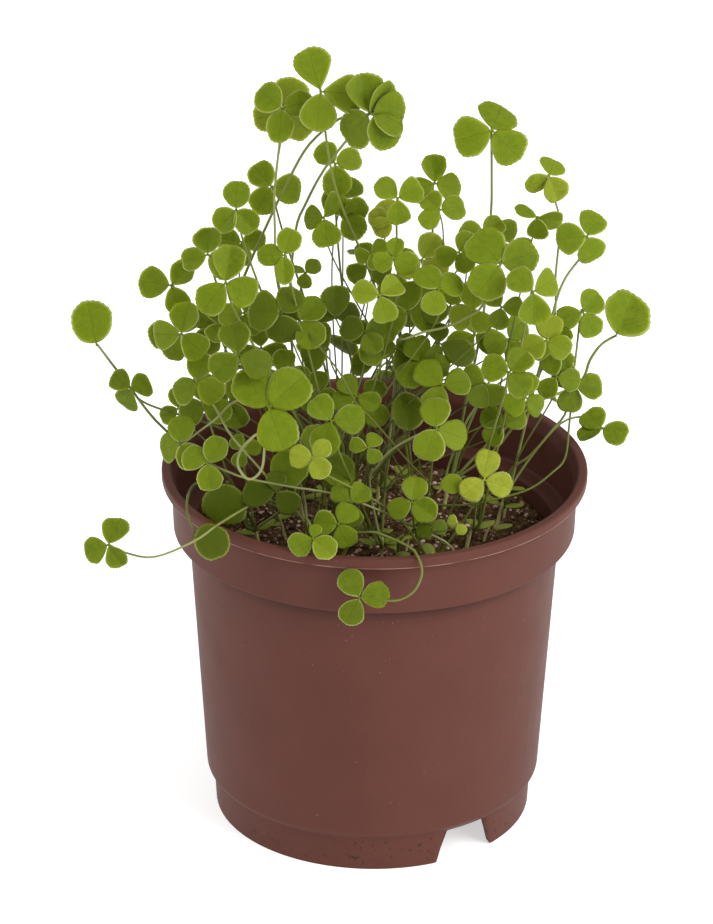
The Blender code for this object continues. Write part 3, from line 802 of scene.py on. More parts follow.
# For each point of a blade, in pad's order: how far out it stands, and whether it is on the underside.
OUTLINE_POINTS = 2 * TEETH
UPPER_POINTS = OUTLINE_POINTS * len(BLADE_RINGS)
BLADE_RIM = np.concatenate((np.repeat((*BLADE_RINGS, *BLADE_RINGS[:-1]), OUTLINE_POINTS), (0, 0)))
BLADE_UNDER = np.repeat((0, 1, 0, 1), (UPPER_POINTS, UPPER_POINTS - OUTLINE_POINTS, 1, 1))

# One row for a leaf: its seedling, the middle of the leaf where the leaflets meet (mm), the leaflets' length
# (mm), which way the face looks (degrees round from the front toward +X, degrees down from straight up), its
# leaflets, and how light it is painted: its own tone, with painted shade on leaves that stand low or deep in
# the crowd and painted light on some that stand in shade. A single leaflet is a round blade, which starts at
# that middle.
#
# A leaflet is its direction in the leaf's own plane (degrees anticlockwise from level), or up to six values:
# that direction, its size as a share of the length, its twist about its own length and the dip of its tip
# behind the leaf's plane (degrees), its width as a share of its size, and how far its base is drawn out to a
# wedge. Values that aren't given are drawn at random, and always the same for the same leaf.
LEAVES = [
    # the tall middle
    ("e", (-11.5, 12, 191.5), 7.8, (5, 58), ((128, 1.0), (18, 1.0), (272, 1.2)), 0.5),
    ("l", (-29, 6, 187), 8.1, (-8, 62), (133, 357, 240), 0.5),
    ("d", (-38.5, -8, 186), 8.5, (-5, 60), (90, (226, 0.95), (314, 0.95)), 0.4),
    ("g", (5.7, -10, 190.4), 7.3, (5, 60), (137, 28, 272), 0.5),
    ("g", (16, 2, 190), 7.8, (12, 62), (90, 196, 345), 0.5),
    ("i", (47.6, 8, 190), 7.8, (15, 55),
     ((58, 0.95, 0, 22, 1.15), (206, 0.95, -42), (288, 0.98, 0, 10, 1.08)), 0.68),
    ("k", (58, -4, 177), 8.8, (12, 60), ((62, 0.95, 0, 12, 1.05), 180, (290, 0.95, 0, 28, 1.12)), 0.5),
    ("h", (33.7, -24, 177.2), 11.2, (4, 58), ((126, 1.05, 5), (19, 0.98, 5), (232, 1.0)), 0.45),
    ("j", (42.5, -31, 172.1), 8.5, (15, 60), (129, 22, 266), 0.5),
    ("f", (1, -28, 169.5), 7.8, (0, 56), ((172, 0.98, 5), (38, 1.0, -5), (287, 1.02, 0)), 0.62),
    ("d", (-25, -22, 178.5), 8.0, (-12, 58),
     ((78, 0.97), (183, 1.0, 0, 0, 0.82), (278, 1.02, 0, 0, 0.68)), 0.5),
    ("b", (-46.5, -5, 171.2), 9.2, (-14, 58), ((97, 0.86, 0, 0, 1.1), (202, 0.88, 0, 0, 0.86), 340), 0.5),
    ("d", (-41, -27, 172.5), 10.1, (-6, 60), (83, 232, (338, 0.93)), 0.42),
    ("l", (-57, 4, 158), 8.7, (-20, 62), ((180, 1.15, 0, 0, 0.98), (57, 0.95), (300, 0.95)), 0.46),
    # the left side
    ("a", (-53.5, -18, 153), 8.6, (-12, 60), (82, 185, 325), 0.5),
    ("a", (-49, -22, 140.5), 8.2, (-10, 56), (86, 212, 334), 0.5),
    ("b", (-67.8, -14, 134.6), 7.2, (-18, 60),
     ((152, 1.0), (36, 0.97, 0, 38, 1.15), (244, 1.03, 0, 30, 1.15)), 0.28),
    ("c", (-54, -26, 123.5), 8.3, (-16, 58), ((92, 0.97), (200, 0.95, 0, 28, 1.12), 318), 0.42),
    ("c", (-46, -37, 123), 7.8, (-14, 56), (62, 165, 285), 0.45),
    ("c", (-29, -40, 141.2), 12.4, (-4, 54),
     ((129, 1.08, 0, 0, 0.92), (46, 1.10, 0, 0, 0.94), (293, 1.0, 0, 0, 0.98)), 0.42),
    ("f", (-12, -35, 135), 9.5, (-2, 56), ((128, 0.86), 8, 252), 0.42),
    # the middle and the front
    ("f", (16.8, -33, 132), 9.3, (5, 55), (92, 342, 243), 0.55),
    ("h", (30, -34, 117), 8.4, (6, 56),
     ((76, 1.08, 0, 0, 0.82), (216, 0.92), (341, 0.98, 0, 0, 0.95)), 1.0),
    ("h", (10.2, -36, 111), 7.6, (-4, 52), (82, 206, 328), 0.5),
    ("h", (-17, -47, 129.5), 6.5, (-5, 60), (50, 178, 308), 0.85),
    # the right side
    ("j", (36.3, -35, 150), 8.0, (8, 55), (160, 46, 306), 0.24),
    ("k", (56, 2, 129), 7.6, (16, 58), (132, 350, 248), 0.28),
    ("k", (58, 10, 148), 7.4, (18, 60), ((40, 1.05, 0, 0, 1.08, 0.2), (188, 1.05), 292), 0.42),
    # the back
    ("l", (-38, 34, 120.5), 9.6, (-150, 42), (90, 210, 330), 0.5),
    ("l", (-14, 46, 123.5), 10.2, (175, 45), (80, 200, 320), 0.5),
    ("i", (37.5, 40, 126), 9.2, (140, 42), (85, 205, 325), 0.5),
    ("e", (1.5, 30, 157), 10.0, (180, 30), (90, 210, 330), 0.5),
]

# Leaves in rows like those of LEAVES, with the stalk's whole route (mm) in place of the leaf's middle: stem
# end first, ending at the middle of the leaf.
ROUTED_LEAVES = [
    # the tallest, whose stalks cross each other
    ("g", [(8, 4, 115), (4.5, 5, 137.5), (0, 4, 157), (-4.5, 0, 171), (-10, -5, 187), (-13, -8, 200.5),
           (-15.5, -6, 220)],
     11.6, (0, 62),
     ((106, 1.08, 4, 0, 0.93, 0.75), (356, 1.02, 0, 0, 1.0, 0.7), (265, 0.94, 0, 0, 1.0, 0.4)), 0.5),
    ("d", [(-9, -2, 112), (-18, -1, 134.5), (-27, 0, 159), (-28, 0, 176.5), (-28, 0, 189.5),
           (-26, -2, 213.5)],
     9.7, (-10, 60), ((147, 0.95), (17, 0.93, 8, 0, 0.86), (268, 0.98, 0, 0, 0.85)), 0.46),
    ("a", [(-38, 2, 110.5), (-42, 10, 128.5), (-41, 11, 145), (-36, 8, 161), (-30, 3, 177.5),
           (-24, -1, 192.5), (-18.5, -2, 203), (-10.5, -1, 210), (-6, -6, 213), (-2.3, -12, 215.9)],
     11.1, (10, 66), ((96, 1.02, 4, 0, 1.0, 0.5), (225, 1.15, 26, 42), (42, 0.95, 48, -8)), 0.3),
    ("b", [(-22, 7, 120), (-24, 6, 149.5), (-22.5, 5, 173.5), (-19.5, 4, 183), (-14.5, 3, 193.5),
           (-7.5, 4, 203), (-5, 3, 207.5), (-3.4, -1, 211), (-2.5, -7, 214), (-1.4, -13, 216.3)],
     9.8, (10, 66),
     ((304, 1.14, 0, 8, 0.95, 0.2), (13, 1.05, 18, 6, 0.95, 0.2), (336, 0.98, -25, 0, 0.9, 0.2)), 0.3),
    ("i", [(25.5, 9, 120), (30, 4, 149.5), (31.5, 2, 180.5), (31.5, 1, 192), (31.5, 0, 206.5)],
     10.9, (8, 64), ((62, 1.02, 0, 31, 1.15), (192, 1.0, 0, 0, 1.12), (312, 1.0)), 0.46),
    # far left, one round blade high on a long stalk
    ("a", [(-41, -9, 105.5), (-50.2, -8, 111.6), (-61.2, -4, 120.1), (-69.2, -3, 131.1),
           (-73.6, -11, 141.7), (-76.1, -30, 154.9)],
     13.1, (-12, 62), ((109, 1.0, 0, 0, 0.94),), 0.5),
    # far right, one round blade high behind
    ("i", [(33, 25, 100.5), (46, 34, 108.5), (55, 40, 110), (60, 44, 112), (62, 46, 117),
           (65.2, 49, 120.5), (69.5, 51, 122.4)],
     14.9, (20, 60), ((52, 1.0, 0, 0, 1.06),), 0.38),
    # left, hanging against the outside of the lip
    ("a", [(-38, -20, 103), (-45, -24, 110), (-49, -30, 113.5), (-51, -37, 113.9), (-51.4, -44, 113.1),
           (-50.8, -48.5, 111.8), (-49.8, -49, 106.3)],
     10.9, (-22, 76), ((356, 1.02, 0, 0, 0.97),), 0.06),
    # low left, out over the lip
    ("a", [(-26, -14, 98), (-30, -22, 104.6), (-34.5, -30, 106.6), (-42.6, -50.5, 110.9),
           (-49.1, -53.8, 107.4), (-60, -52, 101.6), (-68, -48, 100.8), (-72.7, -51, 104.7)],
     8.0, (-10, 62), (76, (203, 0.97), (308, 0.9)), 0.32),
    # front, looping down over the lip
    ("h", [(12, -45, 103), (12, -53, 108), (12.5, -58.5, 108), (13.5, -62, 104), (12.5, -62.5, 98.5),
           (8, -62.2, 96.5), (1, -62, 96), (-4, -64.2, 95.7)],
     8.5, (0, 78), ((118, 1.0), (10, 0.95), (243, 0.97)), 0.2),
    # front left, leaning on the lip
    ("c", [(-19, -36, 104), (-18, -48, 111), (-16.8, -56.5, 109.8)],
     7.7, (-6, 58), (208, 326, (80, 0.55)), 0.5),
    # low right, just past the lip
    ("k", [(45, 15, 101.5), (53, 19, 109.5), (60, 21, 110.5), (64.5, 16, 109.5)],
     7.6, (12, 60), ((122, 0.98, 0, 22, 1.15), (196, 1.0, 56, 0, 1.05), (334, 1.05, 32)), 0.34),
    # back right, with its leaves just past the lip
    ("l", [(-4, 44, 104), (2, 54, 111), (6, 60, 109), (8, 63.5, 104)],
     9.0, (170, 62), (90, 210, 330), 0.5),
    ("i", [(27, 36, 103), (36, 45, 110), (42, 49, 110), (46, 51, 106)],
     8.5, (150, 40), (90, 205, 330), 0.5),
]

# The leaves are numbered from 1 on through LEAVES, ROUTED_LEAVES and CROWD_LEAVES. These stalks bend or cross
# others in plain sight: by the leaf's number, the points (mm) they pass from the stem or soil to the leaf.
BENT_STALKS = {
    6: [(21.5, 18.5, 90.5), (36, 14, 105.5), (46, 12, 127), (50, 10, 146.5), (50, 9, 158.5),
        (50.5, 8, 167.5), (51, 8, 175.5), (49.5, 8, 182)],
    7: [(37.5, 8, 89), (43.5, 4, 122), (47.5, 0, 143.5), (50, -2, 157), (52.5, -2, 164), (57, -3, 171.5)],
    8: [(2, -18, 88.5), (3, -10, 105), (5, -2, 125), (6, -2, 140), (6, -12, 149), (8, -19, 152.5),
        (13, -20, 155), (19, -21, 157), (25, -22, 160.5), (29, -23, 164.5)],
    10: [(2, -18, 88.5), (3, -12, 105), (6, -4, 125), (7, 0, 140), (5, -8, 156), (2, -20, 164.5)],
    16: [(-18.5, -21.5, 88.5), (-19, -22, 96.5), (-24, -26, 106.3), (-31.5, -28, 116.7),
        (-39.5, -27, 126.4), (-43.5, -21, 131)],
    18: [(-22, 8.5, 90.5), (-21, 2, 105), (-24, -4, 118.5), (-30, -10, 130), (-38.5, -16, 132),
        (-44, -16, 126.6), (-49, -20, 124.2)],
    19: [(24, -31, 83), (21.5, -33, 95.5), (11.5, -33, 101.5), (0, -33, 107.5), (-12, -33, 112),
        (-23.5, -34, 114.5), (-35.5, -35, 117.5), (-40.5, -36, 120)],
    20: [(-18.5, -21.5, 88.5), (-20, -22, 107.5), (-26.5, -26, 122.5), (-31.5, -30, 128.5),
        (-34.5, -33, 128), (-37, -36, 126), (-37.5, -38, 122.5), (-34.5, -40, 119.5), (-31, -41, 123),
        (-30, -41, 131.5)],
    22: [(2, -18, 88.5), (-1.5, -18, 108), (1, -20, 114.5), (4.5, -24, 121), (11.5, -30, 128.5)],
    27: [(13, 0, 90.5), (16, -4, 94.5), (25, -8, 96.5), (36, -8, 99), (44, -6, 101), (50, -3, 104.5),
        (53.5, 0, 107.5), (54.5, 1, 117)],
    28: [(37, 7.5, 89), (38, 5, 100.5), (44, 3, 107), (50, 3, 115), (54, 5, 120.5), (56, 8, 133.5)],
    42: [(-12, -38, 82), (-9, -41, 96), (-5, -44, 104.5), (-0.7, -49, 108.1), (2.9, -51, 108),
        (8.4, -54.5, 107), (11.2, -58, 106.3), (12.9, -61.5, 102.6), (11.2, -63, 97.9),
        (7.8, -63.5, 95.2), (3.7, -64, 94.8)],
    47: [(-9, 1, 92), (-9, 1, 112), (-18, 2, 134.5), (-27, 3, 159), (-28, 3, 176.5), (-28, 3, 189.5),
        (-26, 5, 204)],
    73: [(10, -11, 88.5), (16, -16, 104), (8.5, -22, 117.5), (-1, -25, 131), (-5.5, -27, 137),
        (-10, -27, 146), (-16, -22, 152)],
}

# How pale a stalk is painted, by the leaf's number, where it isn't of the usual tone: its own paleness, with
# painted light on stalks that stand in shade and painted shade on others.
STALK_TONES = {6: 0.75, 7: 0.75, 8: 0.7, 10: 0.35, 16: 0.8, 18: 0.8, 19: 0.75, 20: 1.0, 22: 1.0, 27: 0.4,
               28: 0.6, 34: 0.75, 36: 0.6, 37: 0.7, 40: 0.15, 41: 0.7, 42: 0.4, 44: 0.6}

# More leaves that hide among the others or fill the crowd, in rows like those of LEAVES.
CROWD_LEAVES = [
    # the tall middle, between those that are built as solids
    ("e", (-25, 6, 209.5), 9.0, (2, 63), (75, 195, 315), 0.66),
    ("d", (-9.5, 4, 179), 8.0, (-9, 60), ((30, 1.0, 42), (322, 1.0), (110, 0.8)), 0.3),
    ("c", (-19.5, -6, 166.5), 5.0, (-6, 58), ((45, 1.0), (160, 1.0, 50), (265, 0.9)), 0.2),
    ("w", (-9.5, 16, 179.5), 7.0, (-12, 58), (60, 200, 310), 0.28),
    ("g", (-14.5, -4, 182), 8.2, (-3, 63),
     ((177, 0.8, 0, 22, 1.15), (60, 1.0, 54), (280, 1.0, 0, 0, 1.1)), 0.38),
    ("b", (-37.5, 14, 167), 7.0, (-7, 59), (175, 10, 270), 0.45),
    ("l", (4, 2, 179), 6.7, (5, 61), ((168, 1.0), (112, 0.95), (215, 0.9)), 1.0),
    ("n", (4.5, -18, 176.5), 7.6, (4, 62), ((75, 0.74), (205, 0.78), (335, 1.0)), 0.55),
    ("d", (-1.5, -6, 172.5), 5.0, (-11, 57), (40, 200, 300), 0.5),
    ("e", (-2.5, 4, 164.5), 7.0, (2, 62), (95, 215, 335), 0.28),
    # high on the right
    ("j", (44, -8, 184.3), 6.8, (9, 63), ((148, 1.0, 50), (345, 1.1, 40), (268, 0.95, 30)), 0.34),
    ("e", (17.3, -12, 188), 7.2, (8, 59), ((128, 0.9, 0, 25, 1.1), 8, (216, 0.95, 0, 0, 0.88)), 0.5),
    ("b", (12.5, -6, 170.6), 8.0, (2, 58), (58, 318, 200), 0.82),
    ("d", (17, -26, 170.5), 7.8, (9, 58), ((20, 1.0), (246, 0.95), (122, 1.12)), 0.5),
    ("w", (29.5, -6, 177.8), 7.0, (8, 55), (160, 40, 212), 0.62),
    ("w", (37, 5, 170.8), 6.8, (7, 63), (100, 220, 340), 0.28),
    ("e", (22.5, -12, 175.5), 6.5, (-5, 55), (200, 60, 300), 0.55),
    ("d", (34, -27, 165.7), 6.4, (2, 60), (128, 2, 258), 0.2),
    ("j", (47, -14, 150), 7.5, (11, 64), (75, 200, 330), 0.66),
    ("i", (50, 2, 140.5), 7.0, (11, 60), (60, 180, 300), 0.28),
    ("b", (37, 0, 144), 8.0, (16, 57), (190, 40, 290), 0.40),
    ("n", (26.8, -15, 159.3), 6.9, (2, 55), (205, 302, (92, 1.25)), 0.6),
    ("w", (27.5, 0, 145.5), 8.0, (13, 56), (90, 210, 330), 0.42),
    # the middle of the crowd
    ("w", (9, -8, 155.5), 9.4, (7, 55), (195, 345, 95), 0.42),
    ("w", (10, 6, 155.5), 9.6, (10, 57), (160, 20, 270), 0.38),
    ("n", (-11, -12, 155.3), 9.6, (-4, 57), ((93, 1.0, 0, 0, 0.92), (28, 0.72), (158, 0.62)), 0.06),
    ("c", (-21, -16, 156.5), 8.8, (-6, 58), (48, 312, 155), 0.40),
    ("w", (0, -12, 142.5), 7.0, (-2, 57), (190, 60), 0.14),
    ("c", (-3, -17, 153.8), 7.2, (4, 60), ((165, 1.0), (18, 0.9), (300, 1.0)), 0.1),
    ("n", (5.5, -10, 145.5), 8.0, (13, 55), (165, (20, 0.8), 300), 0.2),
    ("n", (17.5, -14, 149), 10.8, (3, 60), ((336, 1.0, 0, 0, 0.78), (92, 0.6), (248, 0.6)), 0.06),
    ("b", (12.5, -16, 144), 8.0, (-8, 56), (110, 230, 350), 0.35),
    ("n", (-5.3, -20, 135.5), 7.0, (-8, 62), (128, 202, 343), 0.35),
    ("d", (-2, -14, 131), 7.5, (7, 58), (60, 180, 300), 0.25),
    ("f", (-16, -10, 132), 6.5, (-14, 60), (95, 215, 335), 0.3),
    ("g", (-13, -12, 146), 8.6, (-10, 58), (205, 130), 0.14),
    # the left of the crowd
    ("o", (-26, -18, 159.5), 9.6, (-10, 60),
     ((178, 1.0, 0, 0, 1.25), (62, 0.85, 10), (277, 0.95, 0, 28, 1.2)), 0.1),
    ("f", (-37.2, -34, 154.2), 9.5, (-1, 57), (104, 217, 337), 0.14),
    ("o", (-36.5, -10, 156), 7.0, (-14, 57), (60, 190, 310), 0.5),
    ("g", (-42.5, -8, 152), 6.0, (-5, 56), (120, 240, 0), 0.45),
    ("b", (-55, -6, 148), 8.0, (-9, 58), (190, 260, 60), 0.28),
    ("o", (-45, -2, 148), 8.0, (-9, 59), (135, 20, 250), 0.28),
    ("m", (-55, -5, 124.5), 6.0, (-23, 60), (100, 220, 340), 0.45),
    ("o", (-47.5, -12, 129.5), 8.0, (-18, 61), (100, 220, 340), 0.28),
    ("d", (-40.5, -8, 128), 8.0, (-12, 63), (60, 180, 300), 0.28),
    ("m", (-25.4, -14, 139), 7.8, (-8, 57), (95, 205, 352), 0.36),
    ("n", (-36.5, -20, 119), 5.0, (-18, 59), (140, 20, 260), 0.4),
    ("n", (-41, -28, 113), 12.6, (-16, 63), ((270, 1.0, 0, 0, 1.1),), 0.05),
    ("b", (-28, -28, 112.8), 11.2, (-8, 60), (45,), 0.2),
    ("d", (-27.2, -31, 111.4), 9.6, (-1, 56), ((186, 1.0, 0, 0, 0.85), (318, 0.8), (90, 0.6)), 0.06),
    # low in the middle, over the soil
    ("c", (-17, -25, 116.5), 11.5, (-6, 56), (185, 355, 80), 0.28),
    ("o", (-2, -30, 124.5), 5.0, (-6, 60), (170, 60, 310), 0.45),
    ("p", (-10, -44, 108), 7.0, (-12, 56), (62, 180, 304), 0.5),
    ("n", (-6.5, -38, 111.5), 6.5, (10, 61), (130, 45, 270), 0.28),
    ("d", (9.5, -20, 124.5), 11.4, (4, 63), ((93, 1.0, 0, 0, 0.86),), 0.14),
    ("q", (15.5, -38, 105), 4.6, (14, 61), (100, 220, 340), 0.12),
    ("p", (22.5, -46, 109.3), 3.3, (-6, 61), (150, 310), 0.9),
    ("h", (24.5, -33, 115.7), 6.2, (-4, 58), (190,), 0.55),
    # the right side
    ("n", (18.5, -22, 140), 8.5, (17, 56), (132, 5, 235), 0.55),
    ("d", (30.5, -12, 136), 7.5, (13, 63), (150, 236, 305), 0.32),
    ("o", (35.5, -15, 124.5), 7.0, (16, 63), (140, 220, 20), 0.28),
    ("k", (50.5, -2, 133.5), 7.0, (3, 59), (110, 230, 350), 0.3),
    ("o", (41.5, -20, 135.5), 7.0, (19, 59), (80, 200, 320), 0.4),
    # behind the gaps between the leaves
    ("o", (-31.8, -4, 142.8), 7.5, (-6, 58), (100, 340, 215), 0.4),
    ("c", (-1.1, -12, 149.5), 7.4, (3, 60), (152, 25, 268), 0.3),
    ("n", (20.5, -8, 157.5), 7.6, (5, 60), (75, 195, 315), 0.22),
]


def leaf_plane(facing):
    """The leaf's own axes: level across, up along the face, and out of the face."""
    turn, tilt = (radians(angle) for angle in facing)
    out = Vector((sin(turn) * sin(tilt), -cos(turn) * sin(tilt), cos(tilt)))
    across = Vector((cos(turn), sin(turn), 0.0))
    return across, out.cross(across), out


def stalk_route(start, lean, end, out, bow=(0.0, 0.0)):
    """A stalk leans away from its stem, rises steeply, arches outward and meets the leaf from below behind.

    It is a cubic Bezier curve, whose two inner points the bow moves sideways, by two shares of its reach.
    """
    reach = (end - start).length
    level = Vector((end.x - start.x, end.y - start.y, 0))
    first = start + Vector((0, 0, STALK_RISE * reach)) + STALK_OUTWARD * level + STALK_LEAN * lean
    last = end - STALK_ARRIVAL * reach * (0.5 * out + Vector((0, 0, 0.9)))
    sideways = STALK_SIDEWAYS * reach
    first, last = first + bow[0] * sideways, last + bow[1] * sideways
    t = np.linspace(0, 1, STALK_POINTS)[:, None]
    start, first, last, end = (np.array(point) for point in (start, first, last, end))
    return (1 - t) ** 3 * start + 3 * t * (1 - t) ** 2 * first + 3 * t * t * (1 - t) * last + t ** 3 * end


def spread_out(angles, least, rounds=60):
    """Sorted angles, moved apart until neighbours round the circle differ by the least angle."""
    angles = list(angles)
    for _ in range(rounds):
        for index in range(len(angles)):
            following = (index + 1) % len(angles)
            missing = least - (angles[following] - angles[index]) % (2 * pi)
            if missing > 0 and len(angles) > 1:
                angles[index] -= missing / 2
                angles[following] += missing / 2
    return angles


def leaflet_outline(length, width, egg, fresh):
    """A circle whose base is drawn out to a wedge, with a toothed rim, on a stem S of its own length L.

    along = S + (L - S) q^(1 - taper egg) and across = W/2 sin(a) (1 - taper egg (1 - q)^2), where
    q = (1 - cos a) / 2. Every other point of the rim away from the base steps in, which makes the teeth. A
    bump or dent at the tip, exp(-((a - pi) / 0.35)^2), and three low waves round the rim make each differ.
    """
    angle = np.linspace(0, 2 * pi, OUTLINE_POINTS, endpoint=False)
    along = (1 - np.cos(angle)) / 2
    tooth = 1 - TOOTH_DEPTH * (np.arange(OUTLINE_POINTS) % 2) * np.clip(3 * along - 0.6, 0, 1)
    tooth -= fresh.uniform(*TIP_BUMP) * np.exp(-((angle - pi) / 0.35) ** 2)
    wave = 1 + sum(size * np.sin(times * angle + 6 * fresh.random()) for times, size in RIM_WAVES)
    stem = LEAFLET_STEM * length
    x = stem + (length - stem) * along ** (1 - BASE_TAPER * egg) * (0.5 + 0.5 * tooth * wave)
    y = width / 2 * np.sin(angle) * (1 - BASE_TAPER * egg * (1 - along) ** 2) * tooth * wave
    return np.column_stack((x, y))


LEAF_TONES = [(0.0, (0.064, 0.090, 0.003)), (0.5, (0.126, 0.180, 0.004)), (1.0, (0.290, 0.320, 0.028))]
LEAF_PATCH = (0.168, 0.222, 0.008)
LEAF_SPOT = (0.062, 0.088, 0.003)
LEAF_VEIN = (0.058, 0.084, 0.004)
LEAF_RIM_HIGHLIGHT = (0.42, 0.46, 0.14)
LEAF_UNDERSIDE = (0.20, 0.26, 0.05)
STALK_GREENS = [(0.0, (0.050, 0.058, 0.010)), (0.5, (0.160, 0.190, 0.032)), (1.0, (0.360, 0.370, 0.150))]
STALK_MOTTLE = (0.110, 0.130, 0.018)

leaf_green, leaf_shader, leaf_field = new_material("leaf_green")
tone = leaf_field.attribute("tone")
leaf_uv = leaf_field.node("ShaderNodeUVMap", {"uv_map": "Blade"})
leaf_along, leaf_across = (leaf_field.node("ShaderNodeSeparateXYZ", {}, {0: leaf_uv}, output=way)
                           for way in (0, 1))
away = (leaf_across - 0.5).absolute()
midrib = away.ramp(0.036, 0.0)
side_veins = leaf_field.maths("SINE", (leaf_along - 0.85 * away) * 62.0)
side_veins = side_veins.ramp(0.55, 1.0) * away.ramp(0.02, 0.08)
blotches = leaf_field.noise(520.0, 4.0)
# Painted highlight: a pale band along the rims of the lighter leaves, in patches, where the rounded edge
# would catch the light.
painted_rim_highlight = leaf_field.attribute("rim").ramp(0.88, 0.98) * leaf_field.noise(90.0).ramp(0.38, 0.58)
spots = leaf_field.noise(900.0, 3.0).ramp(0.55, 0.70)
# The tone attribute sets each leaflet's green; it holds painted shade and painted light as well as the leaf's
# own tone.
leaf_colour = leaf_field.node("ShaderNodeValToRGB", {"stops": LEAF_TONES}, {0: tone})
pale_patches = blotches.ramp(0.35, 0.68) * tone.ramp(-0.05, 0.5)
leaf_colour = leaf_field.mix(pale_patches * 0.42, leaf_colour, LEAF_PATCH)
leaf_colour = leaf_field.mix(spots * 0.2, leaf_colour, LEAF_SPOT)
leaf_colour = leaf_field.mix(midrib * 0.2 + side_veins * 0.07, leaf_colour, LEAF_VEIN)
leaf_colour = leaf_field.mix(painted_rim_highlight * tone.ramp(-0.3, 0.4) * 0.65, leaf_colour, LEAF_RIM_HIGHLIGHT)
leaf_colour = leaf_field.mix(leaf_field.attribute("under") * 0.35, leaf_colour, LEAF_UNDERSIDE)
feed(leaf_shader, Base_Color=leaf_colour, Roughness=0.50 + 0.15 * blotches, Specular_IOR_Level=0.10,
     Subsurface_Weight=0.3, Subsurface_Scale=0.8 * MM, Subsurface_Radius=(1.0, 1.0, 0.3),
     Normal=leaf_field.bump(midrib * -0.8 + side_veins * -0.5 + leaf_field.noise(1500.0), 0.35, 0.25 * MM))

stalk_green, stalk_shader, stalk_field = new_material("stalk_green")
# A stalk's tone holds painted shade and painted light for where it stands, as well as its own paleness.
stalk_colour = stalk_field.node("ShaderNodeValToRGB", {"stops": STALK_GREENS},
                                {0: stalk_field.attribute("tone")})
stalk_colour = stalk_field.mix(stalk_field.noise(60.0).ramp(0.38, 0.62) * 0.4, stalk_colour, STALK_MOTTLE)
feed(stalk_shader, Base_Color=stalk_colour, Roughness=0.42, Specular_IOR_Level=0.25,
     Normal=stalk_field.bump(stalk_field.noise(2200.0), 0.3, 0.08 * MM))


def leaflet_parts(leaflet, length, width, wedge, fresh):
    """A leaflet before it is set on its leaf: its blade's points and faces, its stem's line, and its turn.

    The blade slants back, folds along its midrib, and cups across and along: it drops by
    slant x - fold |y| + cup y^2 + curl x^2. It is then turned by twist, pitch and direction, in that order.
    """
    chance = [*(fresh.uniform(*ends) for ends in LEAFLET_CHANCE), wedge]
    direction, *given = leaflet if isinstance(leaflet, tuple) else (leaflet,)
    size, twist, pitch, wide, egg = given + chance[len(given):]
    outline = leaflet_outline(length * size, width * size * wide, egg, fresh)
    fold = FOLD_LEAST + FOLD_RANGE * fresh.random() ** 3
    cup = fresh.uniform(*CUP)
    curl = fresh.uniform(*TIP_CURL)

    def sink(x, y):
        return BLADE_SINK * x - fold * np.abs(y) + cup * y * y + curl * x * x

    points, faces = pad(outline, BLADE_THICKNESS, sink)
    stem_line = np.zeros((LEAFLET_STEM_POINTS, 3))
    stem_line[:, 0] = np.linspace(0, LEAFLET_STEM_REACH, LEAFLET_STEM_POINTS) * length
    stem_line[:, 2] = -sink(stem_line[:, 0], stem_line[:, 1]) - LEAFLET_STEM_DROP
    turn = (Matrix.Rotation(radians(direction), 3, "Z") @ Matrix.Rotation(radians(pitch), 3, "Y")
            @ Matrix.Rotation(radians(twist), 3, "X"))
    return points, faces, stem_line, np.array(turn).T


def add_leaf(number, route, length, facing, directions, tone_and_painted_light, stalk_tone, nodes=()):
    """One leaf: its leaflets in the leaf's plane at the end of its stalk's route, and the stalk itself.

    Its points carry how far out they are on a blade (rim), whether they are below (under), and a tone, which
    holds painted light and shade as well as the colour.
    """
    fresh = np.random.default_rng(number)
    axes = np.array(leaf_plane(facing))
    hub = np.array(route[-1])
    width = length * (LEAFLET_WIDTH if len(directions) > 1 else ROUND_BLADE_WIDTH)
    wedge = fresh.uniform(*WEDGE_CHANCE) if len(directions) > 1 else 0.0
    blades, leaflet_stems, tones, uv = [], [], [], []
    for leaflet in directions:
        points, faces, stem_line, turn = leaflet_parts(leaflet, length, width, wedge, fresh)
        to_world = turn @ axes
        blades.append((points @ to_world + hub, faces))
        stem_radii = LEAFLET_STEM_RADIUS * LEAFLET_STEM_TAPER
        leaflet_stems.append(tube(stem_line @ to_world + hub, stem_radii, STALK_SIDES))
        tones.append(tone_and_painted_light + fresh.uniform(*TONE_CHANCE))
        uv.append(points[:, :2] / length + (0, 0.5))
    path = smooth_path(route, 4)
    girth = (STALK_RADIUS + STALK_RADIUS_SHARE * length) * (1.0 if nodes else CROWD_STALK_SHARE)
    stalk = tube(path, girth * np.linspace(*STALK_TAPER, len(path)), STALK_SIDES)
    shapes = [*blades, *leaflet_stems, stalk]
    points, faces = joined(shapes)
    leaf = add_piece(f"grown_leaf_{number:02d}", points, faces, [leaf_green, stalk_green], nodes)

    plain = np.zeros(len(points) - len(blades) * len(BLADE_RIM))
    tones += [tone_and_painted_light] * len(leaflet_stems) + [stalk_tone]
    carried = {
        "rim": np.concatenate((np.tile(BLADE_RIM, len(blades)), plain)),
        "under": np.concatenate((np.tile(BLADE_UNDER, len(blades)), plain)),
        "tone": np.repeat(tones, [len(points) for points, _ in shapes]),
    }
    mesh = leaf.data
    for name, values in carried.items():
        mesh.attributes.new(name, "FLOAT", "POINT").data.foreach_set("value", values)
    by_point = np.concatenate((*uv, np.zeros((len(plain), 2))))
    corner_points = np.empty(len(mesh.loops), int)
    mesh.loops.foreach_get("vertex_index", corner_points)
    mesh.uv_layers.new(name="Blade").data.foreach_set("uv", by_point[corner_points].ravel())
    green_faces = len(faces) - len(stalk[1])
    mesh.polygons.foreach_set("material_index", np.arange(len(faces)) >= green_faces)


def bent(number, route, neck):
    """A stalk's route, or the bends that its leaf's number has in BENT_STALKS, on to the leaf's neck."""
    if number not in BENT_STALKS:
        return route
    return [*(Vector(point) * MM for point in BENT_STALKS[number]), neck]


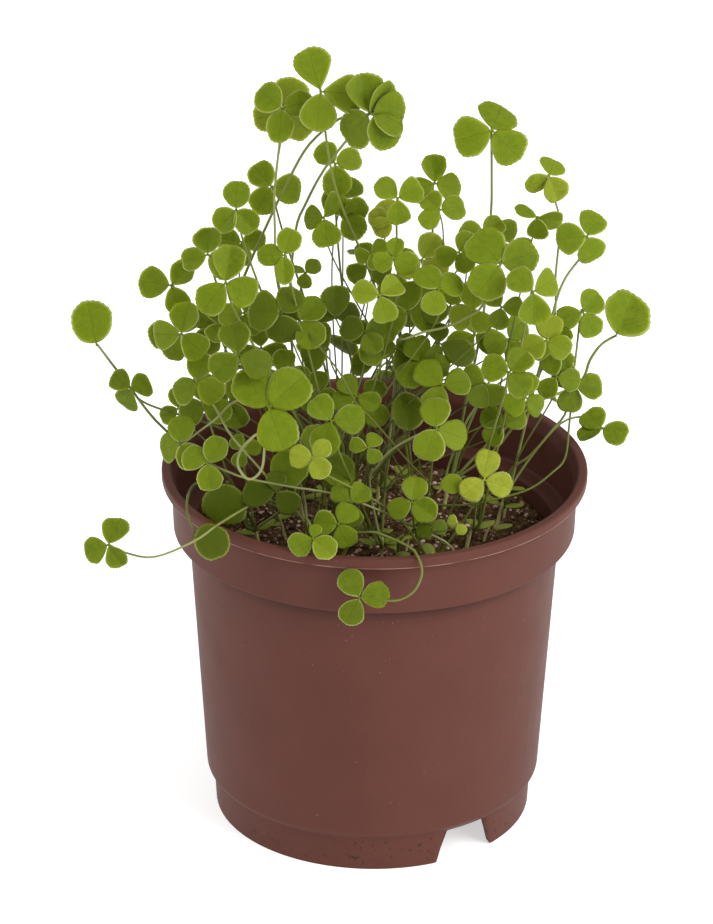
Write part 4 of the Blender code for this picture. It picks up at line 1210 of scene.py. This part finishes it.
solid_leaves = [(stem, None, Vector(hub) * MM, *rest) for stem, hub, *rest in LEAVES]
solid_leaves += [(stem, [Vector(point) * MM for point in route], Vector(route[-1]) * MM, *rest)
                 for stem, route, *rest in ROUTED_LEAVES]

# A seedling's stalks lean toward their leaves, and are spread round its stem.
leans = {}
for stem in STEMS:
    top = stem_top(stem)
    bearings = {}
    for index, (own_stem, points, base, *_) in enumerate(solid_leaves):
        aim = points[0] if points else base
        if own_stem == stem:
            bearings[index] = atan2(aim.y - top.y, aim.x - top.x)
    order = sorted(bearings, key=bearings.get)
    leans.update(zip(order, spread_out([bearings[index] for index in order], STALK_SPREAD)))

for index, (stem, points, base, length, facing, directions, tone_and_painted_light) in enumerate(solid_leaves):
    number = index + 1
    lean = Vector((cos(leans[index]), sin(leans[index]), 0))
    top = stem_top(stem)
    start = top + lean * STALK_CIRCLE
    out = leaf_plane(facing)[2]
    neck = base - out * NECK_LENGTH
    route = [start, *points[:-1], neck] if points else list(stalk_route(start, lean, neck, out))
    route = bent(number, [top - Vector((0, 0, STALK_FOOT)), *route], neck)
    stalk_tone = STALK_TONES.get(number, USUAL_STALK_TONE)
    add_leaf(number, [*route, base], length * MM, facing, directions, tone_and_painted_light, stalk_tone,
             [f"leaf_{number:02d}"])

# The crowd's stalks leave their seedlings up to half the span to either side of the way to the leaf.
crowd = enumerate(CROWD_LEAVES, len(solid_leaves) + 1)
for number, (stem, hub, length, facing, directions, tone_and_painted_light) in crowd:
    base = Vector(hub) * MM
    top = stem_top(stem)
    aside = CROWD_TURN_STEP * number % CROWD_TURN_SPAN - CROWD_TURN_SPAN / 2
    bearing = atan2(base.y - top.y, base.x - top.x) + radians(aside)
    lean = Vector((cos(bearing), sin(bearing), 0))
    out = leaf_plane(facing)[2]
    neck = base - out * NECK_LENGTH
    bow = np.random.default_rng(CROWD_BOW_SEED + number).uniform(np.negative(CROWD_BOW), CROWD_BOW).tolist()
    route = stalk_route(top + lean * CROWD_STALK_CIRCLE, lean, neck, out, bow)
    route = bent(number, [top - Vector((0, 0, CROWD_STALK_FOOT)), *route], neck)
    stalk_tone = CROWD_STALK_SHADED_TONE + CROWD_TONE_STEP * (number % CROWD_TONES)
    add_leaf(number, [*route, base], length * MM, facing, directions, tone_and_painted_light, stalk_tone)
